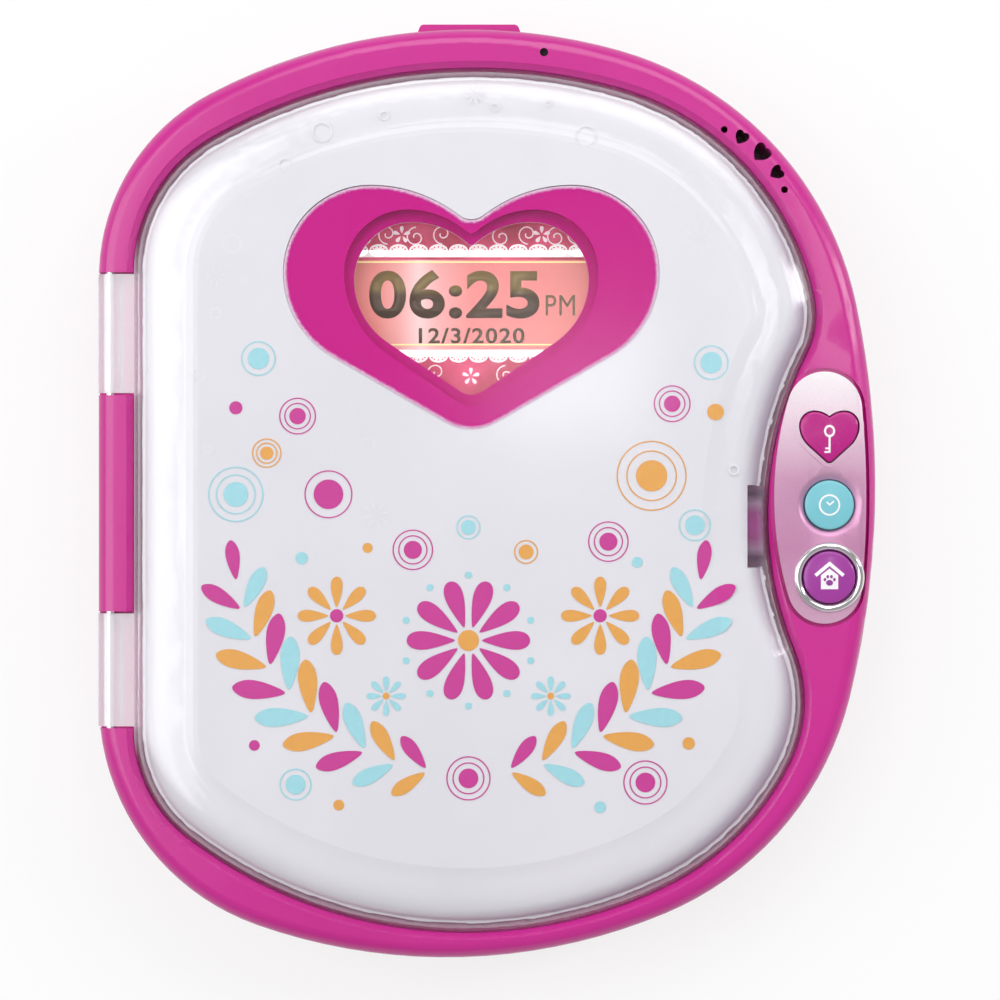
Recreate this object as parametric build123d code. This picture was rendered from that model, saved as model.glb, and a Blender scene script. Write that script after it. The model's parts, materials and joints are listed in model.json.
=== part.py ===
from build123d import *
from math import acos, asin, atan2, cos, degrees, radians, sin, sqrt, tan
import os

# An electronic diary lying shut on its back: X runs from the hinge to the side buttons,
# Y from the reader up the page, Z from the table to the lid. Lengths are millimetres.
# The outline is drawn about its own middle and moved at export, so that the middle of
# the whole case, thumb tab included, stands on the origin.

# Case
CASE_WIDTH = 190.0
CASE_LENGTH = 227.0
CASE_HEIGHT = 32.0
FOOT_LIFT = 1.0
WALL = 2.0
FLOOR = 2.0
PARTING_Z = 15.0
RIM_ROUND = 4.0
BASE_ROUND = 3.0
CASE_SIDE_ARC, CASE_SIDE_Y = 217.0, 1.7
CASE_TOP_ARC, CASE_TOP_X = CASE_WIDTH - 54.0, CASE_WIDTH / 2 - 99.4
CASE_BOTTOM_ARC, CASE_BOTTOM_X = CASE_WIDTH - 51.0, CASE_WIDTH / 2 - 105.0
CASE_CORNERS = (((1, 1), 82.0), ((1, -1), 77.0), ((-1, 1), 51.0), ((-1, -1), 58.0))
TAB_PROUD = 1.6
TAB_WIDTH = 23.8
TAB_ROOT_WIDTH = 28.0
TAB_HEIGHT = 9.0
TAB_ROUND = 1.2

# Lid opening in the rim, and the lid itself
RIM_LEFT = 9.0
RIM_RIGHT = 13.1
RIM_TOP = 9.9
RIM_BOTTOM = 6.6
LID_SIDE_ARC, LID_SIDE_Y = 650.0, 1.9
LID_TOP_ARC, LID_TOP_X = CASE_WIDTH - 60.0, CASE_WIDTH / 2 - 98.0
LID_BOTTOM_ARC, LID_BOTTOM_X = CASE_WIDTH - 78.0, CASE_WIDTH / 2 - 100.0
LID_CORNERS = (((1, 1), 67.0), ((1, -1), 66.0), ((-1, 1), 37.5), ((-1, -1), 33.0))
WAIST_RIM = 26.7
WAIST_PAST_CORNER = 1.527
WAIST_Y = -5.3
WAIST_BLENDS = ((1, 20.0), (-1, 34.0))
LID_GAP = 0.4
LID_EDGE_Z = 32.5
CROWN_RISE = 4.0
CROWN_RUN = 13.0
SHELL_WALL = 1.6
INNER_INSET = 2.8
INNER_WALL = 1.4
LINER = 1.5
LINER_CLEARANCE = 1.0

# Deck under the lid
DECK_TOP = 25.0
DECK_THICKNESS = 2.0
DECK_GAP = 0.2
SEAT_WIDTH = 3.0
SEAT_THICKNESS = 2.0
RIM_ROOF = 2.5
RIM_BEVEL = 1.5

# Hinge
HINGE_INSET = 3.0
HINGE_Z = 29.0
BARREL_RADIUS = 3.0
PIN_RADIUS = 1.0
PIN_CHAMFER = 0.2
PIN_RUNNING_FIT = 0.05
PIN_HELD_FIT = 0.02
PIN_HOLD = 8.0
HINGE_GAPS = ((CASE_LENGTH / 2 - 74.5, 30.0), (70.5 - CASE_LENGTH / 2, 28.5))
HINGE_SIDE_GAP = 0.5
FLANGE_BOTTOM = 0.6
FLANGE_TOP = 3.0

# Heart in the lid: outer edge, step and see-through window, all on one centre
HEART_X, HEART_Y = -3.8, 45.2
HEART_OUTER = dict(width=91.0, height=59.0, lobe_x=24.5, notch=10.0, slope=30.0, tip=12.0, dip=5.0)
HEART_STEP = dict(width=61.8, height=47.7, lobe_x=15.5, notch=6.5, slope=34.0, tip=6.0, dip=1.5)
HEART_WINDOW = dict(width=57.3, height=42.2, lobe_x=14.6, notch=6.1, slope=34.0, tip=5.0, dip=1.2)
HEART_GAP = 0.2
LIP_WIDTH = 1.2
LIP_PROUD = 0.4
LENS_THICKNESS, LENS_ROUND = 1.6, 0.5
LENS_BELOW_TOP = 0.3
BEZEL_TOP_THICKNESS = 1.3
BEZEL_WALL = 1.5
BEZEL_LEDGE = 1.2

# Screen
SCREEN_WIDTH, SCREEN_HEIGHT = 61.6, 46.4
SCREEN_Y_SHIFT = 0.6
SCREEN_LIP = 2.2
SCREEN_COVER = 1.0
GLASS_WIDTH, GLASS_HEIGHT, GLASS_THICKNESS = 68.0, 54.0, 1.9
TRAY_WALL = 1.6
TRAY_FLOOR = 1.6
TRAY_GAP = 0.3
EAR = 6.0

# Keypad
KEY_SIDE_MARGIN = 24.3
NAV_TO_KEYS = 29.1
KEY_RADIUS = 4.75
KEY_TOP = 27.0
KEY_ROUND = 0.8
KEY_GAP = 0.3
KEY_ROWS_TOP_Y = 8.0
KEY_ROWS = (10, 10, 9, 7)
SPACE_KEY_LENGTH = 40.0
BOTTOM_KEY_OFFSET = 33.0
MAT_THICKNESS = 1.9
MAT_MARGIN = 1.6
NAV_FROM_END = 38.0
NAV_PITCH = 11.0
NAV_KEY = 8.0
NAV_TRAVEL = 0.8
NAV_FLANGE = 0.8
KEY_BOARD_THICKNESS = 1.6
KEY_BOARD_TOP = 20.9
KEY_BOARD_LEFT_INSET, KEY_BOARD_RIGHT_INSET, KEY_BOARD_END_INSET = 14.0, 9.8, 21.5
BOARD_EDGE = 4.0
BOARD_GAP = 0.05
DOME_RADIUS, DOME_HEIGHT = 3.0, 0.3

# Side controls
PANEL_INSET = 2.6
PANEL_WIDTH = 22.4
PANEL_Y = -1.0
PANEL_LEFT_ARC, PANEL_RIGHT_ARC = 84.0, 240.0
PANEL_END_ROUND = 9.1
PANEL_PROUD = 0.4
PANEL_THICKNESS = 1.5
GROOVE_WIDTH = 0.9
BUTTON_INSET = 11.6
HEART_BUTTON_Y, CLOCK_BUTTON_Y, HOME_BUTTON_Y = 13.8, -2.8, -20.4
HEART_BUTTON = dict(width=14.2, height=12.3, lobe_x=3.7, notch=1.5, slope=42.0, tip=1.0, dip=0.5)
CLOCK_BUTTON_RADIUS = 6.0
HOME_BUTTON_RADIUS = 6.35
BUTTON_GAP = 0.3
BUTTON_PROUD = 0.9
BUTTON_ROUND = 0.5
BUTTON_CROWN = 50.0
BUTTON_FLANGE = 1.0
BUTTON_FLANGE_THICKNESS = 1.3
BUTTON_TRAVEL = 1.0
BUTTON_SLACK = 0.2
DISH_WIDTH, DISH_DEPTH = 1.7, 0.7
HEART_LIP_WIDTH, HEART_LIP_PROUD = 1.0, 0.3
RING_RADIUS = 8.6
RING_PROUD, RING_ROUND = 0.9, 0.6
SIDE_BOARD_THICKNESS = 1.4
SIDE_BOARD_WIDTH = 12.0
SIDE_BOARD_INSET = 10.7
SIDE_BOARD_TOP, SIDE_BOARD_BOTTOM = 26.0, -32.5
SIDE_PAD_THICKNESS, SIDE_PAD_SHEET = 1.6, 0.7
SIDE_PAD_DOME, SIDE_PAD_DOME_TOP = 4.0, 2.6
SIDE_BOSS_INSET = 2.3
SIDE_BOSS_RADIUS = 2.0

# Latch
CATCH_Y = -8.0
CATCH_INSET = 2.3
CATCH_THICKNESS = 2.5
CATCH_WIDTH = 16.0
CATCH_HEAD_WIDTH, CATCH_HEAD_LENGTH = 3.6, 19.7
CATCH_HEAD_TOP = 31.2
CATCH_BOTTOM = 15.0
CATCH_WINDOW_WIDTH, CATCH_WINDOW_HEIGHT = 10.5, 4.4
LATCH_SLOT_IN, LATCH_SLOT_OUT, LATCH_SLOT_SIDE = 0.6, 1.3, 1.0
LATCH_Z = 18.2
LATCH_TRAVEL = 3.0
BOLT_WIDTH, BOLT_THICKNESS, BOLT_LENGTH = 9.0, 3.0, 7.0
BOLT_STANDOFF = 0.9
PLUNGER_RADIUS, PLUNGER_LENGTH = 1.4, 15.0
RAIL_THICKNESS = 1.6
SPRING_ROOM = 0.3
SOLENOID_LENGTH, SOLENOID_WIDTH = 13.0, 12.0
SOLENOID_SHEET = 1.0
COIL_RADIUS = 4.2
SPRING_WIRE = 0.4
LATCH_SPRING_RADIUS = 2.5
LATCH_BASE_THICKNESS = 1.5
LATCH_POST_RADIUS = 3.0

# Sound
SPEAKER_INSET_X, SPEAKER_INSET_Y, SPEAKER_ARC = 45.9, 48.2, 25.0
SPEAKER_ANGLE = 45.0
SPEAKER_STEPS = ((0.0, 4.4), (14.0, 3.4), (-14.0, 3.4))
SPEAKER_DOTS = (24.5, -24.5)
SPEAKER_DOT_RADIUS = 0.84
SPEAKER_SHIFT = 9.0
SPEAKER_RADIUS, SPEAKER_DEPTH = 14.0, 5.0
SPEAKER_SKIRT = 1.2
SPEAKER_COLLAR, SPEAKER_COLLAR_INSET = 2.0, 0.5
CONE_DEPTH, CONE_PAPER, CONE_BELOW_TOP = 3.0, 0.5, 0.4
MAGNET_RADIUS, MAGNET_DEPTH = 7.0, 3.0
SPEAKER_GAP = 0.3
MIC_X = 13.9
MIC_HOLE_RADIUS = 1.03
MIC_RADIUS, MIC_DEPTH = 2.0, 2.0
MIC_BOOT = 0.4

# Batteries
BAY_X, BAY_Y = -3.8, -46.5
CELL_RADIUS, CELL_LENGTH, CELL_PITCH = 7.25, 49.5, 15.5
CELL_TIP_RADIUS, CELL_TIP, CELL_ROUND = 2.7, 1.0, 0.5
CELL_COUNT = 4
CELL_GAP = 0.35
CONTACT_THICKNESS = 0.5
CONTACT_WIDTH, CONTACT_HEIGHT = 11.0, 10.0
CELL_SPRING = 4.6
CELL_SPRING_RADIUS = 4.0
CELL_SPRING_WIRE, CELL_SPRING_TURNS = 0.6, 2.5
BAY_WALL = 2.6
BAY_ROOF = 1.0
DOOR_THICKNESS = 1.5
DOOR_LEDGE = 1.5
DOOR_GAP = 0.3
DOOR_BAR_RADIUS = 1.0
DOOR_BOSS_RADIUS, DOOR_BOSS_HEIGHT, DOOR_INSERT_RADIUS = 3.4, 5.0, 1.7
DOOR_BAR_LENGTH, DOOR_BAR_OFFSET = 12.0, 20.0
DOOR_TAB_WIDTH, DOOR_TAB_LENGTH = 12.0, 8.0
GRIP_GROOVES, GRIP_WIDTH, GRIP_GROOVE = 5, 16.0, 0.8
GRIP_INSET, GRIP_PITCH = 6.0, 2.0

# Boards, fasteners and feet
MAIN_X, MAIN_Y = -12.0, 52.0
MAIN_WIDTH, MAIN_HEIGHT, MAIN_THICKNESS = 100.0, 62.0, 1.6
MAIN_BOTTOM = 9.0
POST_INSET = 6.8
POST_RADIUS = 3.6
POST_PLACES = (0.075, 0.22, 0.37, 0.475, 0.64, 0.76, 0.92)
CASE_SCREW_RADIUS, CASE_HEAD_RADIUS, CASE_HEAD = 1.5, 2.8, 2.0
CASE_SCREW_LENGTH = 13.0
HEAD_POCKET_TOP = 8.0
SMALL_SCREW_RADIUS, SMALL_HEAD_RADIUS, SMALL_HEAD = 1.0, 2.0, 1.2
SMALL_SCREW_LENGTH = 4.6
SCREW_FIT = 0.05
SCREW_CLEARANCE = 0.2
EASE = 0.1
DRIVER_SLOT = 0.5
BOSS_RADIUS = 2.4
MAIN_BOSS_RADIUS = 3.0
LID_BOSS_INSETS = ((-1, 25.0, 1, 51.5), (-1, 25.0, -1, 53.5), (1, 37.0, 1, 47.5), (1, 35.0, -1, 53.5))
LID_END_BOSSES = ((-5.0, -1, 17.5), (-4.0, 1, 21.5))
FOOT_RADIUS, FOOT_SINK, FOOT_ROUND = 5.0, 0.6, 0.4
FOOT_INSETS = ((-1, 33.0, 1, 37.5), (1, 33.0, 1, 47.5), (-1, 33.0, -1, 37.5), (1, 39.0, -1, 41.5))
WIRE_RADIUS, WIRE_BEND, WIRE_SPREAD = 0.6, 2.5, 2.5
RIBBON_THICKNESS, RIBBON_WIDTH, RIBBON_BEND = 0.3, 18.0, 1.5
SOCKET_INSET, SOCKET_HEIGHT = 6.0, 2.4

# Levels and places that follow from the sizes above
LID_TOP = LID_EDGE_Z + CROWN_RISE
LID_BOTTOM = DECK_TOP + LID_GAP
LINER_BOTTOM = KEY_TOP + LINER_CLEARANCE
LINER_TOP = LINER_BOTTOM + LINER
INNER_TOP = LID_TOP - SHELL_WALL - DECK_GAP
LENS_BOTTOM = LID_TOP - LENS_BELOW_TOP - LENS_THICKNESS
DECK_BOTTOM = DECK_TOP - DECK_THICKNESS
SEAT_BOTTOM = DECK_BOTTOM - SEAT_THICKNESS
ROOF_Z = CASE_HEIGHT - RIM_ROOF
FLOOR_TOP = FOOT_LIFT + FLOOR
HINGE_X = -CASE_WIDTH / 2 + HINGE_INSET
LID_LEFT = -CASE_WIDTH / 2 + RIM_LEFT
WAIST_X = CASE_WIDTH / 2 - WAIST_RIM
KEY_PITCH_X = (WAIST_X - LID_LEFT - KEY_SIDE_MARGIN) / max(KEY_ROWS)
NAV_Y = NAV_FROM_END - CASE_LENGTH / 2
KEY_PITCH_Y = (KEY_ROWS_TOP_Y - NAV_Y - NAV_TO_KEYS) / len(KEY_ROWS)
KEY_BOARD_LEFT, KEY_BOARD_RIGHT = LID_LEFT + KEY_BOARD_LEFT_INSET, WAIST_X - KEY_BOARD_RIGHT_INSET
KEY_BOARD_BOTTOM = KEY_BOARD_END_INSET - CASE_LENGTH / 2
BUTTON_X = CASE_WIDTH / 2 - BUTTON_INSET
SIDE_BOARD_X = CASE_WIDTH / 2 - SIDE_BOARD_INSET
SPEAKER_ARC_X, SPEAKER_ARC_Y = CASE_WIDTH / 2 - SPEAKER_INSET_X, CASE_LENGTH / 2 - SPEAKER_INSET_Y
KEY_BOARD_BOTTOM_Z = KEY_BOARD_TOP - KEY_BOARD_THICKNESS
CATCH_X = WAIST_X - CATCH_INSET - CATCH_THICKNESS / 2
BOLT_NOSE_X = CATCH_X + CATCH_THICKNESS / 2 + BOLT_STANDOFF
SOLENOID_X = BOLT_NOSE_X + BOLT_LENGTH + LATCH_TRAVEL
BAY_WIDTH = CELL_PITCH * CELL_COUNT + 1.0
BAY_LENGTH = CELL_LENGTH + CELL_TIP + CELL_SPRING + 2 * CONTACT_THICKNESS + 2 * CELL_GAP
CELL_Z = FOOT_LIFT + DOOR_THICKNESS + CELL_GAP + CELL_RADIUS
BAY_TOP = CELL_Z + CELL_RADIUS + CELL_GAP
DOOR_WIDTH = BAY_WIDTH + 2 * DOOR_LEDGE
DOOR_LENGTH = BAY_LENGTH + 2 * DOOR_LEDGE
DOOR_AXIS_Y = BAY_Y + DOOR_LENGTH / 2
DOOR_AXIS_Z = FOOT_LIFT + DOOR_BAR_RADIUS
SCREEN_Y = HEART_Y - SCREEN_Y_SHIFT
SIDE_FLANGE_BOTTOM = ROOF_Z - BUTTON_SLACK - BUTTON_FLANGE_THICKNESS
SIDE_PAD_TOP = SIDE_FLANGE_BOTTOM - BUTTON_TRAVEL - BUTTON_SLACK
SIDE_BOARD_TOP_Z = SIDE_PAD_TOP - SIDE_PAD_THICKNESS
PANEL_TOP = CASE_HEIGHT + PANEL_PROUD
MAT_TOP_Y = KEY_ROWS_TOP_Y + KEY_RADIUS + MAT_MARGIN
MAIN_TOP = MAIN_BOTTOM + MAIN_THICKNESS


# Basic shapes

def prism(face, bottom, top):
    return extrude(Pos(0, 0, bottom) * face, amount=top - bottom, dir=(0, 0, 1))


def disc(x, y, radius, bottom, top):
    return prism(Pos(x, y) * Circle(radius), bottom, top)


def block(x, y, width, length, bottom, top):
    return prism(Pos(x, y) * Rectangle(width, length), bottom, top)


def slab(left, right, low, high, bottom, top):
    return block((left + right) / 2, (low + high) / 2, right - left, high - low, bottom, top)


def group(shapes):
    return Compound([shape.solid() for shape in shapes])


def edges_at(shape, height):
    return [
        edge
        for edge in shape.edges()
        if abs(edge.center().Z - height) < 0.01 and edge.bounding_box().size.Z < 0.01
    ]


def end_arc(x, y, radius, sign, reach):
    """All that a shallow arc bounds on one end, with sign +1 for the upper one: the rest stays open."""
    align = Align.MAX if sign > 0 else Align.MIN
    return Pos(x, y) * (Circle(radius) + Rectangle(2 * radius, reach, align=(Align.CENTER, align)))


def oval(left, right, low, high, arcs, corners, inset):
    """Straight on the left, three shallow arcs elsewhere, rounded corners, all moved in by inset."""
    side_arc, side_y, top_arc, top_x, bottom_arc, bottom_x = arcs
    face = (
        Pos(right - side_arc, side_y) * Circle(side_arc - inset)
        & end_arc(top_x, high - top_arc, top_arc - inset, 1, 4 * high)
        & end_arc(bottom_x, low + bottom_arc, bottom_arc - inset, -1, 4 * high)
        & Pos(left + inset, 0) * Rectangle(3 * right, 4 * high, align=(Align.MIN, Align.CENTER))
    ).face()
    for (sign_x, sign_y), radius in corners:
        corner = max(face.vertices(), key=lambda vertex: sign_x * vertex.X + sign_y * vertex.Y)
        face = face.fillet_2d(radius - inset, [corner])
    return face


def case_face(inset=0.0):
    arcs = (CASE_SIDE_ARC, CASE_SIDE_Y, CASE_TOP_ARC, CASE_TOP_X, CASE_BOTTOM_ARC, CASE_BOTTOM_X)
    half_width, half_length = CASE_WIDTH / 2, CASE_LENGTH / 2
    return oval(-half_width, half_width, -half_length, half_length, arcs, CASE_CORNERS, inset)


def waist_arc():
    """Radius of the waist's scoop, which starts just past the lid's upper right corner."""
    side = Vector(CASE_WIDTH / 2 - RIM_RIGHT - LID_SIDE_ARC, LID_SIDE_Y)
    way = Vector(LID_TOP_X, CASE_LENGTH / 2 - RIM_TOP - LID_TOP_ARC) - side
    corner = LID_CORNERS[0][1]
    from_side, from_top = LID_SIDE_ARC - corner, LID_TOP_ARC - corner
    along = (from_side**2 - from_top**2 + way.length**2) / (2 * way.length)
    corner_end = LID_SIDE_ARC * sin(atan2(way.Y, way.X) + acos(along / from_side))
    rise = corner_end + WAIST_PAST_CORNER
    depth = side.X + sqrt(LID_SIDE_ARC**2 - rise**2) - WAIST_X
    half = rise + LID_SIDE_Y - WAIST_Y
    return (depth**2 + half**2) / (2 * depth)


def lid_face(inset=0.0):
    """The lid's outline: an oval with a waist scooped out beside the buttons."""
    arcs = (LID_SIDE_ARC, LID_SIDE_Y, LID_TOP_ARC, LID_TOP_X, LID_BOTTOM_ARC, LID_BOTTOM_X)
    right = CASE_WIDTH / 2 - RIM_RIGHT
    low, high = RIM_BOTTOM - CASE_LENGTH / 2, CASE_LENGTH / 2 - RIM_TOP
    face = oval(LID_LEFT, right, low, high, arcs, LID_CORNERS, inset)
    scoop = waist_arc()
    waist = Vector(WAIST_X + scoop, WAIST_Y)
    face = (face - Pos(waist) * Circle(scoop + inset)).face()
    for sign, radius in WAIST_BLENDS:
        on_waist = [
            vertex
            for vertex in face.vertices()
            if abs((Vector(vertex) - waist).length - scoop - inset) < 0.001
        ]
        corner = max(on_waist, key=lambda vertex: sign * vertex.Y)
        face = face.fillet_2d(radius - inset, [corner])
    return face


def heart(width, height, lobe_x, notch, slope, tip, dip, grow=0.0):
    """A heart about the middle of its box: shoulder, lobe and side arcs, then a straight side."""
    slope = radians(slope)
    lobe = width / 2 - lobe_x
    shoulder = (lobe_x**2 + notch**2) / (2 * notch)
    drop = height - lobe + tip * (1 / cos(slope) - 1)
    side = (drop - width / 2 * tan(slope)) * cos(slope) / (1 - sin(slope))
    shoulder, lobe, side = shoulder + grow, lobe + grow, side + grow
    rise = asin(lobe_x / shoulder)
    start = (0, height / 2 + grow - shoulder * (1 - cos(rise)))
    shoulder_arc = JernArc(start, (cos(rise), sin(rise)), shoulder, -degrees(rise))
    lobe_arc = JernArc(shoulder_arc @ 1, (1, 0), lobe, -90)
    side_arc = JernArc(lobe_arc @ 1, (0, -1), side, degrees(slope) - 90)
    corner = side_arc @ 1
    point = (0, corner.Y - corner.X * tan(slope))
    half = Curve() + [shoulder_arc, lobe_arc, side_arc, Line(corner, point)]
    face = make_face([*half.edges(), *mirror(half, Plane.YZ).edges()]).face()
    middle = [vertex for vertex in face.vertices() if abs(vertex.X) < 0.001]
    face = face.fillet_2d(tip + grow, [min(middle, key=lambda vertex: vertex.Y)])
    if grow >= dip:
        return face
    middle = [vertex for vertex in face.vertices() if abs(vertex.X) < 0.001]
    return face.fillet_2d(dip - grow, [max(middle, key=lambda vertex: vertex.Y)])


def lid_heart(sizes, grow=0.0):
    return Pos(HEART_X, HEART_Y) * heart(**sizes, grow=grow)


def crowned(inset, bottom, edge, top):
    """The lid's shape as a solid: upright edge, then a soft crown up to a flat top."""
    sections = []
    for angle in (0, 30, 60, 90):
        run = CROWN_RUN * (1 - cos(radians(angle)))
        rise = (top - edge) * sin(radians(angle))
        sections.append(Pos(0, 0, edge + rise) * lid_face(inset + run))
    return prism(lid_face(inset), bottom, edge) + loft(sections)


def screw(x, y, seat, sense, radius, head_radius, head, length):
    """Head on the seat's outer side and shank beyond it; sense is +1 when the shank points up."""
    low, high = sorted((seat, seat - sense * head))
    cap = disc(x, y, head_radius, low, high)
    low, high = sorted((seat, seat + sense * length))
    slot = block(x, y, DRIVER_SLOT, 2 * head_radius, *sorted((seat - sense * head, seat - sense * head / 2)))
    return cap + disc(x, y, radius, low, high) - slot


def small_screw(x, y, seat, sense):
    return screw(x, y, seat, sense, SMALL_SCREW_RADIUS, SMALL_HEAD_RADIUS, SMALL_HEAD, SMALL_SCREW_LENGTH)


def coil(radius, wire, height, turns, axis):
    """A wire spring from the axis plane's origin along its normal."""
    path = Helix(height / turns, height, radius)
    section = Plane(origin=path @ 0, z_dir=path % 0) * Circle(wire)
    return axis * sweep(section, path=path, is_frenet=True)


# Where things stand

def post_places():
    path = case_face(POST_INSET).outer_wire()
    points = [path @ place for place in POST_PLACES]
    return [(point.X, point.Y) for point in points]


def key_places():
    """Middle of each round key, row by row."""
    places = []
    for row, count in enumerate(KEY_ROWS):
        y = KEY_ROWS_TOP_Y - row * KEY_PITCH_Y
        for column in range(count):
            places.append((HEART_X + (column - (count - 1) / 2) * KEY_PITCH_X, y))
    return places


def bottom_row_y():
    return KEY_ROWS_TOP_Y - len(KEY_ROWS) * KEY_PITCH_Y


def long_keys(grow=0.0):
    """Space bar and the two keys beside it."""
    y = bottom_row_y()
    bar = Pos(HEART_X, y) * SlotOverall(SPACE_KEY_LENGTH + 2 * grow, 2 * (KEY_RADIUS + grow))
    short = SlotOverall(KEY_PITCH_X + KEY_RADIUS + 2 * grow, 2 * (KEY_RADIUS + grow))
    return [bar.face()] + [
        (Pos(HEART_X + sign * BOTTOM_KEY_OFFSET, y) * short).face() for sign in (-1, 1)
    ]


def key_faces(grow=0.0):
    rounds = [(Pos(x, y) * Circle(KEY_RADIUS + grow)).face() for x, y in key_places()]
    return rounds + long_keys(grow)


def nav_places():
    return {
        "up_key": (HEART_X, NAV_Y + NAV_PITCH),
        "down_key": (HEART_X, NAV_Y - NAV_PITCH),
        "left_key": (HEART_X - NAV_PITCH, NAV_Y),
        "right_key": (HEART_X + NAV_PITCH, NAV_Y),
        "ok_key": (HEART_X, NAV_Y),
    }


def nav_face(name, grow=0.0):
    """Round in the middle, rounded squares around it."""
    x, y = nav_places()[name]
    if name == "ok_key":
        return (Pos(x, y) * Circle(NAV_KEY / 2 + grow)).face()
    return (Pos(x, y) * RectangleRounded(NAV_KEY + 2 * grow, NAV_KEY + 2 * grow, 2.0 + grow)).face()


def key_board_screws():
    left, right = KEY_BOARD_LEFT + BOARD_EDGE, KEY_BOARD_RIGHT - BOARD_EDGE
    low = KEY_BOARD_BOTTOM + BOARD_EDGE
    rows = ((left, right, MAT_TOP_Y + BOARD_EDGE), (left, right, NAV_Y + NAV_PITCH))
    rows += ((HEART_X - BOTTOM_KEY_OFFSET, HEART_X + BOTTOM_KEY_OFFSET, low),)
    return [(x, y) for first, second, y in rows for x in (first, second)]


def tray_screws():
    reach_x = GLASS_WIDTH / 2 + TRAY_WALL + EAR / 2
    reach_y = GLASS_HEIGHT / 2 - EAR
    return [(HEART_X + sx * reach_x, SCREEN_Y + sy * reach_y) for sx in (-1, 1) for sy in (-1, 1)]


def main_board_posts():
    reach_x, reach_y = MAIN_WIDTH / 2 - BOARD_EDGE, MAIN_HEIGHT / 2 - BOARD_EDGE
    return [(MAIN_X + sx * reach_x, MAIN_Y + sy * reach_y) for sx in (-1, 1) for sy in (-1, 1)]


def side_bosses():
    return [
        (SIDE_BOARD_X, SIDE_BOARD_TOP - SIDE_BOSS_INSET),
        (SIDE_BOARD_X, SIDE_BOARD_BOTTOM + SIDE_BOSS_INSET),
    ]


def inset_places(insets):
    """Places given as a side and how far in from the case's edge on it, first in X, then in Y."""
    half_width, half_length = CASE_WIDTH / 2, CASE_LENGTH / 2
    return [(sx * (half_width - in_x), sy * (half_length - in_y)) for sx, in_x, sy, in_y in insets]


def lid_bosses():
    ends = [(x, sign * (CASE_LENGTH / 2 - inset)) for x, sign, inset in LID_END_BOSSES]
    return inset_places(LID_BOSS_INSETS) + ends


def speaker_place():
    angle = radians(SPEAKER_ANGLE)
    return (SPEAKER_ARC_X + SPEAKER_SHIFT * cos(angle), SPEAKER_ARC_Y + SPEAKER_SHIFT * sin(angle))


def mic_place():
    """Middle of the hollow in the far rim."""
    case_arc, lid_arc = CASE_TOP_ARC - WALL, LID_TOP_ARC + LID_GAP + WALL
    outer = CASE_LENGTH / 2 - CASE_TOP_ARC + sqrt(case_arc**2 - (MIC_X - CASE_TOP_X) ** 2)
    inner = CASE_LENGTH / 2 - RIM_TOP - LID_TOP_ARC + sqrt(lid_arc**2 - (MIC_X - LID_TOP_X) ** 2)
    return MIC_X, (outer + inner) / 2


def on_speaker_arc(step):
    angle = radians(SPEAKER_ANGLE + step)
    return SPEAKER_ARC_X + SPEAKER_ARC * cos(angle), SPEAKER_ARC_Y + SPEAKER_ARC * sin(angle)


def cell_xs():
    return [BAY_X + (index - (CELL_COUNT - 1) / 2) * CELL_PITCH for index in range(CELL_COUNT)]


def cell_sense(index):
    return 1 if index % 2 else -1


def door_screw_place():
    return BAY_X, BAY_Y - DOOR_LENGTH / 2 - DOOR_TAB_LENGTH / 2


def latch_slot(bottom, top):
    inner = CATCH_X - CATCH_THICKNESS / 2 - LATCH_SLOT_IN
    outer = CATCH_X + CATCH_THICKNESS / 2 + LATCH_SLOT_OUT
    half = CATCH_WIDTH / 2 + LATCH_SLOT_SIDE
    return slab(inner, outer, CATCH_Y - half, CATCH_Y + half, bottom, top)


# Case and rim

def frame_block(inset):
    solid = prism(case_face(inset), PARTING_Z, CASE_HEIGHT - inset)
    return fillet(edges_at(solid, CASE_HEIGHT - inset), RIM_ROUND - inset)


def panel_face(grow=0.0):
    right = CASE_WIDTH / 2 - PANEL_INSET
    left = right - PANEL_WIDTH
    face = (
        Pos(left + PANEL_LEFT_ARC, PANEL_Y) * Circle(PANEL_LEFT_ARC + grow)
        & Pos(right - PANEL_RIGHT_ARC, PANEL_Y) * Circle(PANEL_RIGHT_ARC + grow)
    ).face()
    for sign in (1, -1):
        corner = max(face.vertices(), key=lambda vertex: sign * vertex.Y)
        face = face.fillet_2d(PANEL_END_ROUND + grow, [corner])
    return face


def side_button_faces(grow=0.0):
    return {
        "key_button": Pos(BUTTON_X, HEART_BUTTON_Y) * heart(**HEART_BUTTON, grow=grow),
        "clock_button": (Pos(BUTTON_X, CLOCK_BUTTON_Y) * Circle(CLOCK_BUTTON_RADIUS + grow)).face(),
        "home_button": (Pos(BUTTON_X, HOME_BUTTON_Y) * Circle(HOME_BUTTON_RADIUS + grow)).face(),
    }


def thumb_tab():
    """Low tapered bump on the far edge of the rim."""
    tip = CASE_LENGTH / 2 + TAB_PROUD
    root = CASE_LENGTH / 2 - RIM_ROUND
    half, wide = TAB_WIDTH / 2, TAB_ROOT_WIDTH / 2
    face = Pos(CASE_TOP_X, 0) * make_face(
        Polyline((-wide, root), (wide, root), (half, tip), (-half, tip), close=True)
    ).face()
    tab = prism(face, PARTING_Z + 1, PARTING_Z + 1 + TAB_HEIGHT)
    return fillet(tab.edges().filter_by(Axis.Z).group_by(Axis.Y)[-1], TAB_ROUND)


def hinge_gap(y, length):
    right = LID_LEFT - LID_GAP + 0.01
    return slab(-CASE_WIDTH / 2 - 1, right, y - length / 2, y + length / 2, DECK_TOP, CASE_HEIGHT + 1)


def pin_hole(y, length, radius):
    return Pos(HINGE_X, y, HINGE_Z) * Rot(90, 0, 0) * Cylinder(radius, length)


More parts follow.
